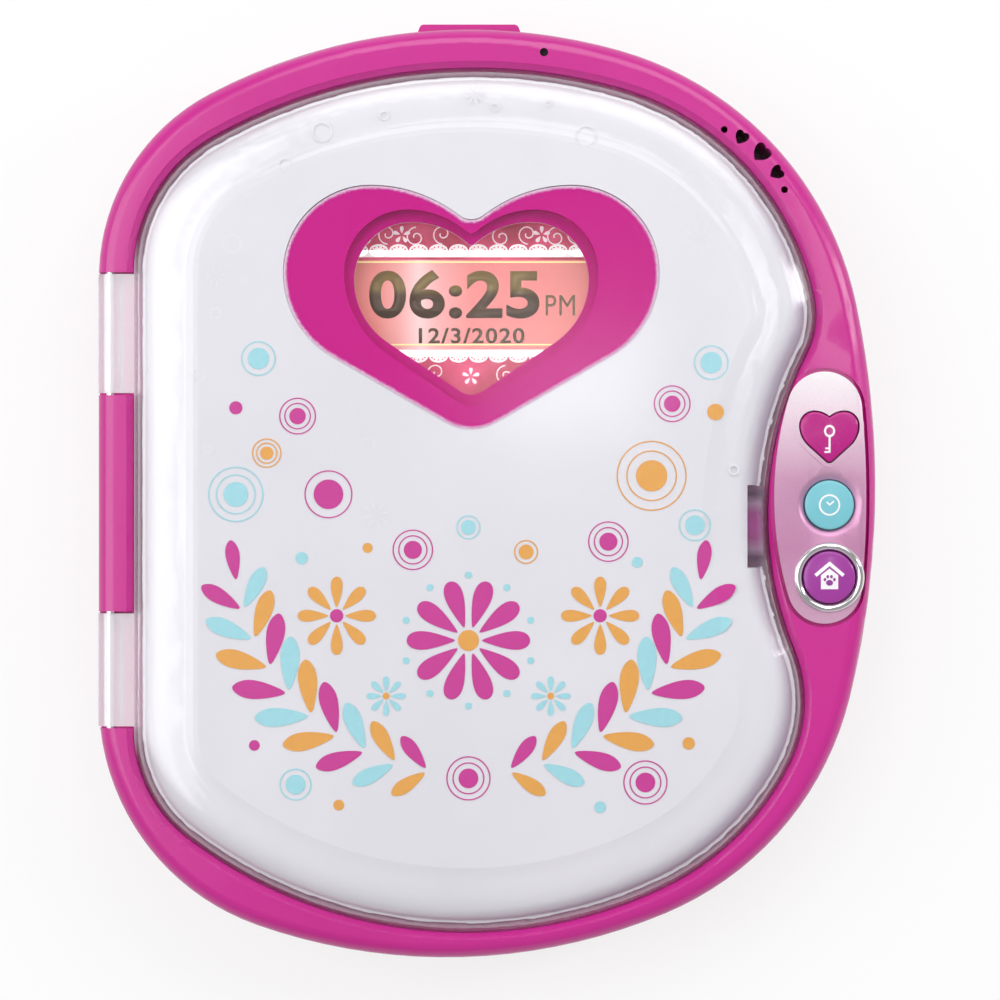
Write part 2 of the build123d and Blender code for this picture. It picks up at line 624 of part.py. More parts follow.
def rim_channel():
    """Hollow inside the rim, closed along the hinge side where the rim stays solid."""
    channel = prism(case_face(WALL), SEAT_BOTTOM, ROOF_Z)
    channel -= prism(lid_face(-LID_GAP - WALL), SEAT_BOTTOM, ROOF_Z)
    return channel - slab(-CASE_WIDTH, LID_LEFT + RIM_LEFT, -CASE_LENGTH, CASE_LENGTH, SEAT_BOTTOM, ROOF_Z)


def frame_with_bosses():
    """Rim block, hollow below, with the screw bosses in it."""
    frame = frame_block(0) + thumb_tab()
    frame -= prism(case_face(WALL), PARTING_Z - 1, SEAT_BOTTOM)
    frame -= rim_channel()
    for x, y in post_places():
        frame += disc(x, y, POST_RADIUS, PARTING_Z, ROOF_Z) & frame_block(0)
        screw_end = HEAD_POCKET_TOP + CASE_SCREW_LENGTH
        frame -= disc(x, y, CASE_SCREW_RADIUS + SCREW_FIT, PARTING_Z - 1, screw_end + 1)
    for x, y in side_bosses():
        frame += disc(x, y, SIDE_BOSS_RADIUS, SIDE_BOARD_TOP_Z, ROOF_Z)
        frame -= disc(x, y, SMALL_SCREW_RADIUS + SCREW_FIT, SIDE_BOARD_TOP_Z, ROOF_Z - 0.5)
    return frame


def sound_holes():
    holes = []
    for step, size in SPEAKER_STEPS:
        shape = heart(size, size, size / 4, size / 10, 42.0, size / 14, size / 30)
        turned = Pos(*on_speaker_arc(step)) * Rot(0, 0, SPEAKER_ANGLE + step - 90) * shape
        holes.append(prism(turned, ROOF_Z - 1, CASE_HEIGHT + 1))
    for step in SPEAKER_DOTS:
        holes.append(disc(*on_speaker_arc(step), SPEAKER_DOT_RADIUS, ROOF_Z - 1, CASE_HEIGHT + 1))
    return holes + [disc(*mic_place(), MIC_HOLE_RADIUS, ROOF_Z - 1, CASE_HEIGHT + 1)]


def front_frame():
    """Upper casing: rim, hinge blocks and the ledge that the deck rests on."""
    frame = frame_with_bosses()
    frame -= prism(lid_face(-LID_GAP), DECK_BOTTOM, CASE_HEIGHT + 1)
    frame -= prism(lid_face(SEAT_WIDTH), SEAT_BOTTOM - 1, DECK_BOTTOM)
    flare = prism(lid_face(-LID_GAP - RIM_BEVEL), CASE_HEIGHT - RIM_BEVEL, CASE_HEIGHT + 1)
    frame -= chamfer(edges_at(flare, CASE_HEIGHT - RIM_BEVEL), RIM_BEVEL)
    for y, length in HINGE_GAPS:
        frame -= hinge_gap(y, length)
        frame -= pin_hole(y, length + 2 * PIN_HOLD, PIN_RADIUS + PIN_HELD_FIT)
    recess = prism(panel_face(GROOVE_WIDTH), ROOF_Z, CASE_HEIGHT + 2)
    frame -= recess - frame_block(PANEL_THICKNESS - PANEL_PROUD)
    for face in side_button_faces(BUTTON_GAP).values():
        frame -= prism(face, ROOF_Z - 1, CASE_HEIGHT + 1)
    for hole in sound_holes():
        frame -= hole
    return frame - latch_slot(SEAT_BOTTOM - 1, DECK_BOTTOM)


def battery_bay():
    width, length = BAY_WIDTH + 2 * BAY_WALL, BAY_LENGTH + 2 * BAY_WALL
    outer = block(BAY_X, BAY_Y, width, length, FOOT_LIFT, BAY_TOP + BAY_ROOF)
    return outer - block(BAY_X, BAY_Y, BAY_WIDTH, BAY_LENGTH, FOOT_LIFT - 1, BAY_TOP)


def door_face(grow):
    x, y = door_screw_place()
    plate = Pos(BAY_X, BAY_Y) * Rectangle(DOOR_WIDTH + 2 * grow, DOOR_LENGTH + 2 * grow)
    tab = Pos(x, y + 1) * Rectangle(DOOR_TAB_WIDTH + 2 * grow, DOOR_TAB_LENGTH + 2 + 2 * grow)
    return (plate + tab).face()


def door_bars(radius, length):
    bar = Rot(0, 90, 0) * Cylinder(radius, length)
    return [Pos(BAY_X + sign * DOOR_BAR_OFFSET, DOOR_AXIS_Y, DOOR_AXIS_Z) * bar for sign in (-1, 1)]


def rear_case():
    """Lower casing: floor, wall, battery bay and the posts that stand on the floor."""
    case = prism(case_face(), FOOT_LIFT, PARTING_Z)
    case = fillet(edges_at(case, FOOT_LIFT), BASE_ROUND)
    case -= prism(case_face(WALL), FLOOR_TOP, PARTING_Z + 1)
    for x, y in post_places():
        case += disc(x, y, POST_RADIUS, FLOOR_TOP - 1, PARTING_Z)
        case -= disc(x, y, CASE_HEAD_RADIUS + SCREW_CLEARANCE, FOOT_LIFT - 1, HEAD_POCKET_TOP)
        case -= disc(x, y, CASE_SCREW_RADIUS + SCREW_CLEARANCE, HEAD_POCKET_TOP - 1, PARTING_Z + 1)
    case += battery_bay()
    case -= block(BAY_X, BAY_Y, BAY_WIDTH, BAY_LENGTH, FOOT_LIFT - 1, BAY_TOP)
    x, y = door_screw_place()
    case += disc(x, y, DOOR_BOSS_RADIUS, FLOOR_TOP - 1, FLOOR_TOP + DOOR_BOSS_HEIGHT)
    case -= prism(door_face(DOOR_GAP), FOOT_LIFT - 1, FOOT_LIFT + DOOR_THICKNESS)
    case -= disc(x, y, DOOR_INSERT_RADIUS, FOOT_LIFT, FLOOR_TOP + DOOR_BOSS_HEIGHT - 1)
    for bar in door_bars(DOOR_BAR_RADIUS + DOOR_GAP, DOOR_BAR_LENGTH + 2 * DOOR_GAP):
        case -= bar
    swing = Pos(BAY_X, DOOR_AXIS_Y, DOOR_AXIS_Z) * Rot(0, 90, 0) * Cylinder(
        DOOR_BAR_RADIUS + DOOR_GAP, DOOR_WIDTH + 2 * DOOR_GAP
    )
    case -= swing & block(BAY_X, DOOR_AXIS_Y, 2 * DOOR_WIDTH, DOOR_LENGTH, 0, DOOR_AXIS_Z)
    for x, y in main_board_posts():
        case += disc(x, y, MAIN_BOSS_RADIUS, FLOOR_TOP - 1, MAIN_BOTTOM)
        case -= disc(x, y, SMALL_SCREW_RADIUS + SCREW_FIT, FLOOR_TOP, MAIN_BOTTOM + 1)
    for x, y in latch_posts():
        case += disc(x, y, LATCH_POST_RADIUS, FLOOR_TOP - 1, latch_base_bottom())
        case -= disc(x, y, SMALL_SCREW_RADIUS + SCREW_FIT, latch_base_bottom() - 5, latch_base_bottom() + 1)
    x, y = speaker_place()
    seat = disc(x, y, SPEAKER_RADIUS, FLOOR_TOP - 1, speaker_bottom())
    seat &= prism(case_face(), FOOT_LIFT, PARTING_Z)
    hollow = SPEAKER_RADIUS - SPEAKER_COLLAR_INSET - SPEAKER_COLLAR
    case += seat - disc(x, y, hollow, FLOOR_TOP, speaker_bottom() + 1)
    for x, y in inset_places(FOOT_INSETS):
        case -= disc(x, y, FOOT_RADIUS + EASE, FOOT_LIFT - 1, FOOT_LIFT + FOOT_SINK)
    return case


def rubber_feet():
    feet = [disc(x, y, FOOT_RADIUS, 0, FOOT_LIFT + FOOT_SINK) for x, y in inset_places(FOOT_INSETS)]
    return group([fillet(edges_at(foot, 0), FOOT_ROUND) for foot in feet])


def case_screws():
    sizes = (CASE_SCREW_RADIUS, CASE_HEAD_RADIUS, CASE_HEAD, CASE_SCREW_LENGTH)
    return group([screw(x, y, HEAD_POCKET_TOP, 1, *sizes) for x, y in post_places()])


# Deck, screen and keys

def deck_plate():
    """The page under the lid, with its holes and the bosses under it."""
    deck = prism(lid_face(DECK_GAP - LID_GAP), DECK_BOTTOM, DECK_TOP)
    for x, y in key_board_screws() + tray_screws():
        deck += disc(x, y, BOSS_RADIUS, KEY_BOARD_TOP, DECK_BOTTOM)
        deck -= disc(x, y, SMALL_SCREW_RADIUS + SCREW_FIT, KEY_BOARD_TOP - 1, DECK_TOP - 0.6)
    deck -= block(HEART_X, SCREEN_Y, SCREEN_WIDTH, SCREEN_HEIGHT, DECK_BOTTOM, DECK_TOP)
    deck -= prism(cover_face(DECK_GAP), DECK_TOP - SCREEN_COVER, DECK_TOP + 1)
    for face in key_faces(KEY_GAP):
        deck -= prism(face, DECK_BOTTOM - 1, DECK_TOP + 1)
    for name in nav_places():
        deck -= prism(nav_face(name, KEY_GAP), DECK_BOTTOM - 1, DECK_TOP + 1)
    return deck - latch_slot(DECK_BOTTOM - 1, DECK_TOP + 1)


def cover_face(grow=0.0):
    width, height = SCREEN_WIDTH + 2 * (SCREEN_LIP + grow), SCREEN_HEIGHT + 2 * (SCREEN_LIP + grow)
    return Pos(HEART_X, SCREEN_Y) * RectangleRounded(width, height, 2.0 + grow)


def screen_cover():
    return prism(cover_face(), DECK_TOP - SCREEN_COVER, DECK_TOP)


def glass_bottom():
    return DECK_BOTTOM - BOARD_GAP - GLASS_THICKNESS


def lcd_glass():
    return block(HEART_X, SCREEN_Y, GLASS_WIDTH, GLASS_HEIGHT, glass_bottom(), DECK_BOTTOM - BOARD_GAP)


def lcd_tray():
    """White tray behind the glass, hung from the deck by four ears."""
    width, height = GLASS_WIDTH + 2 * TRAY_WALL, GLASS_HEIGHT + 2 * TRAY_WALL
    tray = block(HEART_X, SCREEN_Y, width, height, glass_bottom() - TRAY_FLOOR, DECK_BOTTOM - TRAY_GAP)
    inner_width, inner_height = GLASS_WIDTH + 2 * DECK_GAP, GLASS_HEIGHT + 2 * DECK_GAP
    tray -= block(HEART_X, SCREEN_Y, inner_width, inner_height, glass_bottom(), DECK_BOTTOM)
    for x, y in tray_screws():
        tray += block(x, y, EAR + 1, EAR, KEY_BOARD_BOTTOM_Z, KEY_BOARD_TOP - BOARD_GAP) - block(
            HEART_X, SCREEN_Y, width - 1, height, 0, CASE_HEIGHT
        )
        tray -= disc(x, y, SMALL_SCREW_RADIUS + SCREW_CLEARANCE, 0, CASE_HEIGHT)
    return tray


def keypad_mat():
    """One silicone sheet with all the letter keys standing on it."""
    half = (max(KEY_ROWS) - 1) / 2 * KEY_PITCH_X + KEY_RADIUS + MAT_MARGIN
    bottom = bottom_row_y() - KEY_RADIUS - MAT_MARGIN
    sheet_bottom = KEY_BOARD_TOP + BOARD_GAP
    mat = slab(HEART_X - half, HEART_X + half, bottom, MAT_TOP_Y, sheet_bottom, sheet_bottom + MAT_THICKNESS)
    for face in key_faces():
        key = prism(face, sheet_bottom, KEY_TOP)
        mat += fillet(edges_at(key, KEY_TOP), KEY_ROUND)
    return mat


def keyboard_board():
    """Board under the keys, cut away below the screen's tray."""
    high = MAT_TOP_Y + 2 * BOARD_EDGE
    board = slab(KEY_BOARD_LEFT, KEY_BOARD_RIGHT, KEY_BOARD_BOTTOM, high, KEY_BOARD_BOTTOM_Z, KEY_BOARD_TOP)
    board &= prism(lid_face(SEAT_WIDTH + 1), 0, CASE_HEIGHT)
    reach = GLASS_WIDTH / 2 + TRAY_WALL + EAR + 2
    board -= slab(HEART_X - reach, HEART_X + reach, MAT_TOP_Y + 1, CASE_LENGTH, 0, CASE_HEIGHT)
    for x, y in key_board_screws():
        board -= disc(x, y, SMALL_SCREW_RADIUS + SCREW_CLEARANCE, 0, CASE_HEIGHT)
    return board


def nav_domes():
    top = KEY_BOARD_TOP + DOME_HEIGHT
    return group([disc(x, y, DOME_RADIUS, KEY_BOARD_TOP, top) for x, y in nav_places().values()])


def nav_key(name):
    """Hard key: cap through the deck and a wider flange under it, its travel above the dome."""
    flange_bottom = KEY_BOARD_TOP + DOME_HEIGHT + NAV_TRAVEL + BOARD_GAP
    cap = prism(nav_face(name), flange_bottom, KEY_TOP)
    cap = fillet(edges_at(cap, KEY_TOP), KEY_ROUND)
    return cap + prism(nav_face(name, NAV_FLANGE), flange_bottom, DECK_BOTTOM - BOARD_GAP)


# Side controls

def control_panel():
    """Oval plate that follows the rim's rounded edge."""
    panel = prism(panel_face(), PARTING_Z, CASE_HEIGHT + 2) & (
        frame_block(-PANEL_PROUD) - frame_block(PANEL_THICKNESS - PANEL_PROUD)
    )
    lip = Pos(BUTTON_X, HEART_BUTTON_Y) * heart(**HEART_BUTTON, grow=HEART_LIP_WIDTH + BUTTON_GAP)
    panel += prism(lip, PANEL_TOP - 0.5, PANEL_TOP + HEART_LIP_PROUD)
    dish = Cone(CLOCK_BUTTON_RADIUS + BUTTON_GAP, CLOCK_BUTTON_RADIUS + BUTTON_GAP + DISH_WIDTH, DISH_DEPTH)
    panel -= Pos(BUTTON_X, CLOCK_BUTTON_Y, PANEL_TOP - DISH_DEPTH / 2 + 0.01) * dish
    for face in side_button_faces(BUTTON_GAP).values():
        panel -= prism(face, PARTING_Z, CASE_HEIGHT + 3)
    return panel


def chrome_ring():
    top = PANEL_TOP + RING_PROUD
    ring = disc(BUTTON_X, HOME_BUTTON_Y, RING_RADIUS, PANEL_TOP, top)
    ring -= disc(BUTTON_X, HOME_BUTTON_Y, HOME_BUTTON_RADIUS + BUTTON_GAP, PANEL_TOP - 1, top + 1)
    return fillet(edges_at(ring, top), RING_ROUND)


def side_button(name):
    """Crowned cap through the panel and the rim's roof, held by a wider flange under the roof."""
    top = PANEL_TOP + BUTTON_PROUD
    face = side_button_faces()[name]
    middle = face.bounding_box().center()
    crown = Pos(middle.X, middle.Y, top - BUTTON_CROWN) * Sphere(BUTTON_CROWN)
    cap = prism(face, SIDE_FLANGE_BOTTOM, top) & crown
    cap = fillet([edge for edge in cap.edges() if edge.center().Z > PANEL_TOP], BUTTON_ROUND)
    flange = side_button_faces(BUTTON_FLANGE)[name] if name != "key_button" else (
        Pos(BUTTON_X, HEART_BUTTON_Y) * Circle(HEART_BUTTON["width"] / 2 + BUTTON_GAP)
    ).face()
    return cap + prism(flange, SIDE_FLANGE_BOTTOM, SIDE_FLANGE_BOTTOM + BUTTON_FLANGE_THICKNESS)


def side_button_pad():
    """Silicone strip with a dome under each side button."""
    low = SIDE_BOARD_BOTTOM + 2 * SIDE_BOSS_INSET + LID_GAP
    high = SIDE_BOARD_TOP - 2 * SIDE_BOSS_INSET - LID_GAP
    left, right = SIDE_BOARD_X - SIDE_BOARD_WIDTH / 2, SIDE_BOARD_X + SIDE_BOARD_WIDTH / 2
    base = SIDE_BOARD_TOP_Z + BOARD_GAP
    pad = slab(left, right, low, high, base, base + SIDE_PAD_SHEET)
    dome = Cone(SIDE_PAD_DOME, SIDE_PAD_DOME_TOP, SIDE_PAD_TOP - base)
    for y in (HEART_BUTTON_Y, CLOCK_BUTTON_Y, HOME_BUTTON_Y):
        pad += Pos(BUTTON_X, y, (base + SIDE_PAD_TOP) / 2) * dome
    return pad


def side_button_board():
    board = slab(
        SIDE_BOARD_X - SIDE_BOARD_WIDTH / 2,
        SIDE_BOARD_X + SIDE_BOARD_WIDTH / 2,
        SIDE_BOARD_BOTTOM,
        SIDE_BOARD_TOP,
        SIDE_BOARD_TOP_Z - SIDE_BOARD_THICKNESS,
        SIDE_BOARD_TOP_Z,
    )
    for x, y in side_bosses():
        board -= disc(x, y, SMALL_SCREW_RADIUS + SCREW_CLEARANCE, 0, CASE_HEIGHT)
    return board


# Hinge and lid

def hinge_pin(index):
    y, length = HINGE_GAPS[index]
    pin = pin_hole(y, length + 2 * PIN_HOLD - 1, PIN_RADIUS)
    return chamfer(pin.edges().filter_by(GeomType.CIRCLE), PIN_CHAMFER)


def barrel(y, length):
    """Clear knuckle with the flange that joins it to the lid's edge."""
    run = length - 2 * HINGE_SIDE_GAP
    reach = LID_LEFT + SHELL_WALL / 2
    flange = slab(HINGE_X, reach, y - run / 2, y + run / 2, HINGE_Z + FLANGE_BOTTOM, HINGE_Z + FLANGE_TOP)
    return pin_hole(y, run, BARREL_RADIUS) + flange


def lid_outer_shell():
    """Clear crowned shell with the hinge knuckles and a lip round the heart."""
    shell = crowned(0, LID_BOTTOM, LID_EDGE_Z, LID_TOP)
    shell += prism(lid_heart(HEART_OUTER, LIP_WIDTH), LID_TOP - 1, LID_TOP + LIP_PROUD)
    shell -= crowned(SHELL_WALL, LID_BOTTOM - 1, LID_EDGE_Z - SHELL_WALL / 2, LID_TOP - SHELL_WALL)
    shell -= prism(lid_heart(HEART_OUTER, HEART_GAP), LID_BOTTOM, LID_TOP + 2)
    for y, length in HINGE_GAPS:
        shell += barrel(y, length)
        shell -= pin_hole(y, length, PIN_RADIUS + PIN_RUNNING_FIT)
    return shell


def catch_notch(bottom, top, gap):
    """Room for the catch's head at the waist."""
    inner = CATCH_X - CATCH_THICKNESS / 2 - gap
    half = CATCH_HEAD_LENGTH / 2 + gap
    return slab(inner, inner + 4 * CATCH_HEAD_WIDTH, CATCH_Y - half, CATCH_Y + half, bottom, top)


def lid_inner_shell():
    """White shell under the clear one, with screw bosses reaching down to the liner."""
    shell = crowned(INNER_INSET, LINER_TOP, LID_EDGE_Z - SHELL_WALL, INNER_TOP)
    edge = LID_EDGE_Z - SHELL_WALL - 1
    shell -= crowned(INNER_INSET + INNER_WALL, LINER_TOP - 1, edge, INNER_TOP - INNER_WALL)
    for x, y in lid_bosses():
        shell += disc(x, y, BOSS_RADIUS, LINER_TOP, INNER_TOP - INNER_WALL / 2)
        shell -= disc(x, y, SMALL_SCREW_RADIUS + SCREW_FIT, LINER_TOP - 1, INNER_TOP - INNER_WALL)
    shell -= prism(lid_heart(HEART_OUTER, HEART_GAP), LINER_TOP - 1, INNER_TOP + 1)
    return shell - catch_notch(LINER_TOP - 1, LID_TOP, HEART_GAP)


def lid_liner():
    """Flat underside of the lid."""
    liner = prism(lid_face(SHELL_WALL + DECK_GAP), LINER_BOTTOM, LINER_TOP)
    liner -= prism(lid_heart(HEART_WINDOW), LINER_BOTTOM - 1, LINER_TOP + 1)
    for x, y in lid_bosses():
        liner -= disc(x, y, SMALL_SCREW_RADIUS + SCREW_CLEARANCE, LINER_BOTTOM - 1, LINER_TOP + 1)
        liner -= disc(x, y, SMALL_HEAD_RADIUS + SCREW_CLEARANCE, LINER_BOTTOM - 1, LINER_BOTTOM + LINER / 2)
    half_thickness, half_width = CATCH_THICKNESS / 2 + EASE, CATCH_WIDTH / 2 + EASE
    return liner - block(CATCH_X, CATCH_Y, 2 * half_thickness, 2 * half_width, 0, CASE_HEIGHT)


def lid_screws():
    seat = LINER_BOTTOM + LINER / 2
    sizes = (SMALL_SCREW_RADIUS, SMALL_HEAD_RADIUS, LINER / 2, SMALL_SCREW_LENGTH - 1)
    return group([screw(x, y, seat, 1, *sizes) for x, y in lid_bosses()])


def heart_bezel():
    """Magenta surround that steps down from the lens to the window."""
    bezel = prism(lid_heart(HEART_OUTER), LENS_BOTTOM - BEZEL_TOP_THICKNESS, LENS_BOTTOM)
    bezel += prism(lid_heart(HEART_STEP, BEZEL_WALL), LINER_TOP, LENS_BOTTOM - BEZEL_TOP_THICKNESS / 2)
    bezel -= prism(lid_heart(HEART_STEP), LINER_TOP + BEZEL_LEDGE, LENS_BOTTOM + 1)
    return bezel - prism(lid_heart(HEART_WINDOW), LINER_TOP - 1, LENS_BOTTOM + 1)


def heart_lens():
    top = LENS_BOTTOM + LENS_THICKNESS
    lens = prism(lid_heart(HEART_OUTER), LENS_BOTTOM, top)
    return fillet(edges_at(lens, top), LENS_ROUND)


def lid_catch():
    """Tongue that drops through the deck, with a window for the bolt."""
    tongue = block(CATCH_X, CATCH_Y, CATCH_THICKNESS, CATCH_WIDTH, CATCH_BOTTOM, LINER_TOP)
    tongue -= slab(
        CATCH_X - CATCH_THICKNESS,
        CATCH_X + CATCH_THICKNESS,
        CATCH_Y - CATCH_WINDOW_WIDTH / 2,
        CATCH_Y + CATCH_WINDOW_WIDTH / 2,
        LATCH_Z - CATCH_WINDOW_HEIGHT / 2,
        LATCH_Z + CATCH_WINDOW_HEIGHT / 2,
    )
    left = CATCH_X - CATCH_THICKNESS / 2
    head = slab(
        left,
        left + CATCH_HEAD_WIDTH,
        CATCH_Y - CATCH_HEAD_LENGTH / 2,
        CATCH_Y + CATCH_HEAD_LENGTH / 2,
        LINER_TOP,
        CATCH_HEAD_TOP,
    )
    head &= prism(lid_face(SHELL_WALL + DECK_GAP), 0, CASE_HEIGHT)
    return tongue + head


# Latch

def latch_base_bottom():
    return LATCH_Z - COIL_RADIUS - SOLENOID_SHEET - LATCH_BASE_THICKNESS


def latch_posts():
    y_reach = SOLENOID_WIDTH / 2 + LATCH_POST_RADIUS
    middle = SOLENOID_X + SOLENOID_LENGTH / 2 - 1
    return [(middle, CATCH_Y + sign * y_reach) for sign in (-1, 1)]


def latch_housing():
    """Base plate and the two rails that the bolt slides between, grooved for the spring."""
    bottom = latch_base_bottom()
    top = bottom + LATCH_BASE_THICKNESS
    left = BOLT_NOSE_X + LATCH_TRAVEL
    right = SOLENOID_X + SOLENOID_LENGTH
    reach = SOLENOID_WIDTH / 2 + 2 * LATCH_POST_RADIUS
    base = slab(left, right, CATCH_Y - reach, CATCH_Y + reach, bottom, top)
    shelf_top = LATCH_Z - BOLT_THICKNESS / 2 - SCREW_FIT
    rail_right = SOLENOID_X - DECK_GAP
    base += slab(left, rail_right, CATCH_Y - reach / 2, CATCH_Y + reach / 2, bottom, shelf_top)
    for sign in (-1, 1):
        rail_y = CATCH_Y + sign * (BOLT_WIDTH / 2 + DECK_GAP + RAIL_THICKNESS / 2)
        rail_top = LATCH_Z + BOLT_THICKNESS / 2
        base += block((left + rail_right) / 2, rail_y, rail_right - left, RAIL_THICKNESS, bottom, rail_top)
    base -= along_x(left - 1, LATCH_SPRING_RADIUS + SPRING_WIRE + SPRING_ROOM, rail_right - left + 2)
    for x, y in latch_posts():
        base -= disc(x, y, SMALL_SCREW_RADIUS + SCREW_CLEARANCE, bottom - 1, top + 1)
    return base


def latch_bolt():
    """Sliding bolt; its nose slopes so that a falling catch pushes it back."""
    nose = BOLT_NOSE_X
    profile = make_face(
        Polyline(
            (nose, LATCH_Z - BOLT_THICKNESS / 2),
            (nose + BOLT_LENGTH, LATCH_Z - BOLT_THICKNESS / 2),
            (nose + BOLT_LENGTH, LATCH_Z + BOLT_THICKNESS / 2),
            (nose + BOLT_THICKNESS / 2, LATCH_Z + BOLT_THICKNESS / 2),
            (nose, LATCH_Z - BOLT_THICKNESS / 6),
            close=True,
        )
    ).face()
    body = Plane.XZ.offset(-CATCH_Y - BOLT_WIDTH / 2) * profile
    return extrude(body, BOLT_WIDTH)


def along_x(x, radius, length):
    return Pos(x + length / 2, CATCH_Y, LATCH_Z) * Rot(0, 90, 0) * Cylinder(radius, length)


def solenoid_plunger():
    return along_x(BOLT_NOSE_X + BOLT_LENGTH, PLUNGER_RADIUS, PLUNGER_LENGTH)


def solenoid_frame():
    """Steel bracket: base and two end plates round the coil."""
    bottom = LATCH_Z - COIL_RADIUS - SOLENOID_SHEET
    top = LATCH_Z + COIL_RADIUS
    left, right = SOLENOID_X, SOLENOID_X + SOLENOID_LENGTH
    half = SOLENOID_WIDTH / 2 - 1
    frame = slab(left, right, CATCH_Y - half, CATCH_Y + half, bottom, top)
    left_wall, right_wall = left + SOLENOID_SHEET, right - SOLENOID_SHEET
    frame -= slab(left_wall, right_wall, CATCH_Y - half, CATCH_Y + half, bottom + SOLENOID_SHEET, top)
    return frame - along_x(left - 1, PLUNGER_RADIUS + SPRING_ROOM, SOLENOID_LENGTH + 2)


def solenoid_coil():
    left = SOLENOID_X + SOLENOID_SHEET
    length = SOLENOID_LENGTH - 2 * SOLENOID_SHEET
    bore = along_x(left - 1, PLUNGER_RADIUS + SPRING_ROOM, length + 2)
    return along_x(left, COIL_RADIUS - EASE, length) - bore


def latch_spring():
    start = BOLT_NOSE_X + BOLT_LENGTH + SPRING_WIRE + EASE
    height = LATCH_TRAVEL - 2 * SPRING_WIRE - 2 * EASE
    axis = Plane(origin=(start, CATCH_Y, LATCH_Z), z_dir=(1, 0, 0))
    return coil(LATCH_SPRING_RADIUS, SPRING_WIRE, height, 2, axis)


# Sound

def speaker_bottom():
    return SEAT_BOTTOM - SPEAKER_GAP - SPEAKER_DEPTH - MAGNET_DEPTH


def speaker_frame():
    """Steel basket with the magnet under it."""
    x, y = speaker_place()
    top = speaker_bottom() + MAGNET_DEPTH + SPEAKER_DEPTH
    basket = disc(x, y, SPEAKER_RADIUS, top - SPEAKER_DEPTH, top) - disc(
        x, y, SPEAKER_RADIUS - SPEAKER_SKIRT, top - SPEAKER_DEPTH + SPEAKER_SKIRT, top
    )
    return basket + disc(x, y, MAGNET_RADIUS, speaker_bottom(), top - SPEAKER_DEPTH)


def speaker_cone():
    x, y = speaker_place()
    top = speaker_bottom() + MAGNET_DEPTH + SPEAKER_DEPTH
    radius = SPEAKER_RADIUS - SPEAKER_SKIRT - EASE
    middle = top - CONE_BELOW_TOP - CONE_DEPTH / 2
    outer = Pos(x, y, middle) * Cone(radius / 2, radius, CONE_DEPTH)
    inner = Pos(x, y, middle + CONE_PAPER) * Cone(radius / 2 - CONE_PAPER, radius - CONE_PAPER, CONE_DEPTH)
    return outer - inner


def speaker_ring():
    """Collar on the floor that carries the speaker's rim."""
    x, y = speaker_place()
    outer = SPEAKER_RADIUS - SPEAKER_COLLAR_INSET
    bottom, top = speaker_bottom(), speaker_bottom() + MAGNET_DEPTH
    return disc(x, y, outer, bottom, top) - disc(x, y, outer - SPEAKER_COLLAR, bottom - 1, top + 1)


def microphone():
    return disc(*mic_place(), MIC_RADIUS, ROOF_Z - MIC_BOOT - MIC_DEPTH, ROOF_Z - MIC_BOOT)


def mic_boot():
    """Rubber cup between the microphone and the rim's roof."""
    x, y = mic_place()
    boot = disc(x, y, MIC_RADIUS + MIC_BOOT, ROOF_Z - MIC_BOOT - MIC_DEPTH, ROOF_Z)
    boot -= disc(x, y, MIC_RADIUS, 0, ROOF_Z - MIC_BOOT)
    return boot - disc(x, y, MIC_HOLE_RADIUS, 0, CASE_HEIGHT)


# Power

def battery(index):
    """One cell lying along Y; neighbours lie head to tail."""
    sense = cell_sense(index)
    x = cell_xs()[index]
    wall = BAY_Y + sense * BAY_LENGTH / 2
    tip = wall - sense * (CONTACT_THICKNESS + CELL_GAP)
    nub = Pos(x, tip - sense * CELL_TIP / 2, CELL_Z) * Rot(90, 0, 0) * Cylinder(CELL_TIP_RADIUS, CELL_TIP)
    middle = tip - sense * (CELL_TIP + CELL_LENGTH / 2)
    can = Pos(x, middle, CELL_Z) * Rot(90, 0, 0) * Cylinder(CELL_RADIUS, CELL_LENGTH)
    return fillet(can.edges().filter_by(GeomType.CIRCLE), CELL_ROUND) + nub


def battery_contacts():
    low, high = CELL_Z - CONTACT_HEIGHT / 2, CELL_Z + CONTACT_HEIGHT / 2
    plates = []
    for x in cell_xs():
        for sign in (-1, 1):
            y = BAY_Y + sign * (BAY_LENGTH - CONTACT_THICKNESS) / 2
            plates.append(block(x, y, CONTACT_WIDTH, CONTACT_THICKNESS, low, high))
    return group(plates)


def battery_springs():
    springs = []
    for index, x in enumerate(cell_xs()):
        sense = cell_sense(index)
        start = BAY_Y - sense * (BAY_LENGTH / 2 - CONTACT_THICKNESS - CELL_SPRING_WIRE - BOARD_GAP)
        axis = Plane(origin=(x, start, CELL_Z), z_dir=(0, sense, 0))
        height = CELL_SPRING - 2 * CELL_SPRING_WIRE
        springs.append(coil(CELL_SPRING_RADIUS, CELL_SPRING_WIRE, height, CELL_SPRING_TURNS, axis))
    return group(springs)


def battery_door():
    """Plate over the battery bay, hinged on two short bars at its upper edge."""
    x, y = door_screw_place()
    door = prism(door_face(0), FOOT_LIFT, FOOT_LIFT + DOOR_THICKNESS)
    door -= disc(x, y, SMALL_SCREW_RADIUS + SCREW_CLEARANCE, 0, FLOOR_TOP)
    door -= disc(x, y, SMALL_HEAD_RADIUS + SCREW_CLEARANCE, 0, FOOT_LIFT + DOOR_THICKNESS / 2)
    for bar in door_bars(DOOR_BAR_RADIUS, DOOR_BAR_LENGTH):
        door += bar
    for index in range(GRIP_GROOVES):
        groove_y = BAY_Y + DOOR_LENGTH / 2 - GRIP_INSET - GRIP_PITCH * index
        door -= block(BAY_X, groove_y, GRIP_WIDTH, GRIP_GROOVE, 0, FOOT_LIFT + GRIP_GROOVE / 2)
    return door


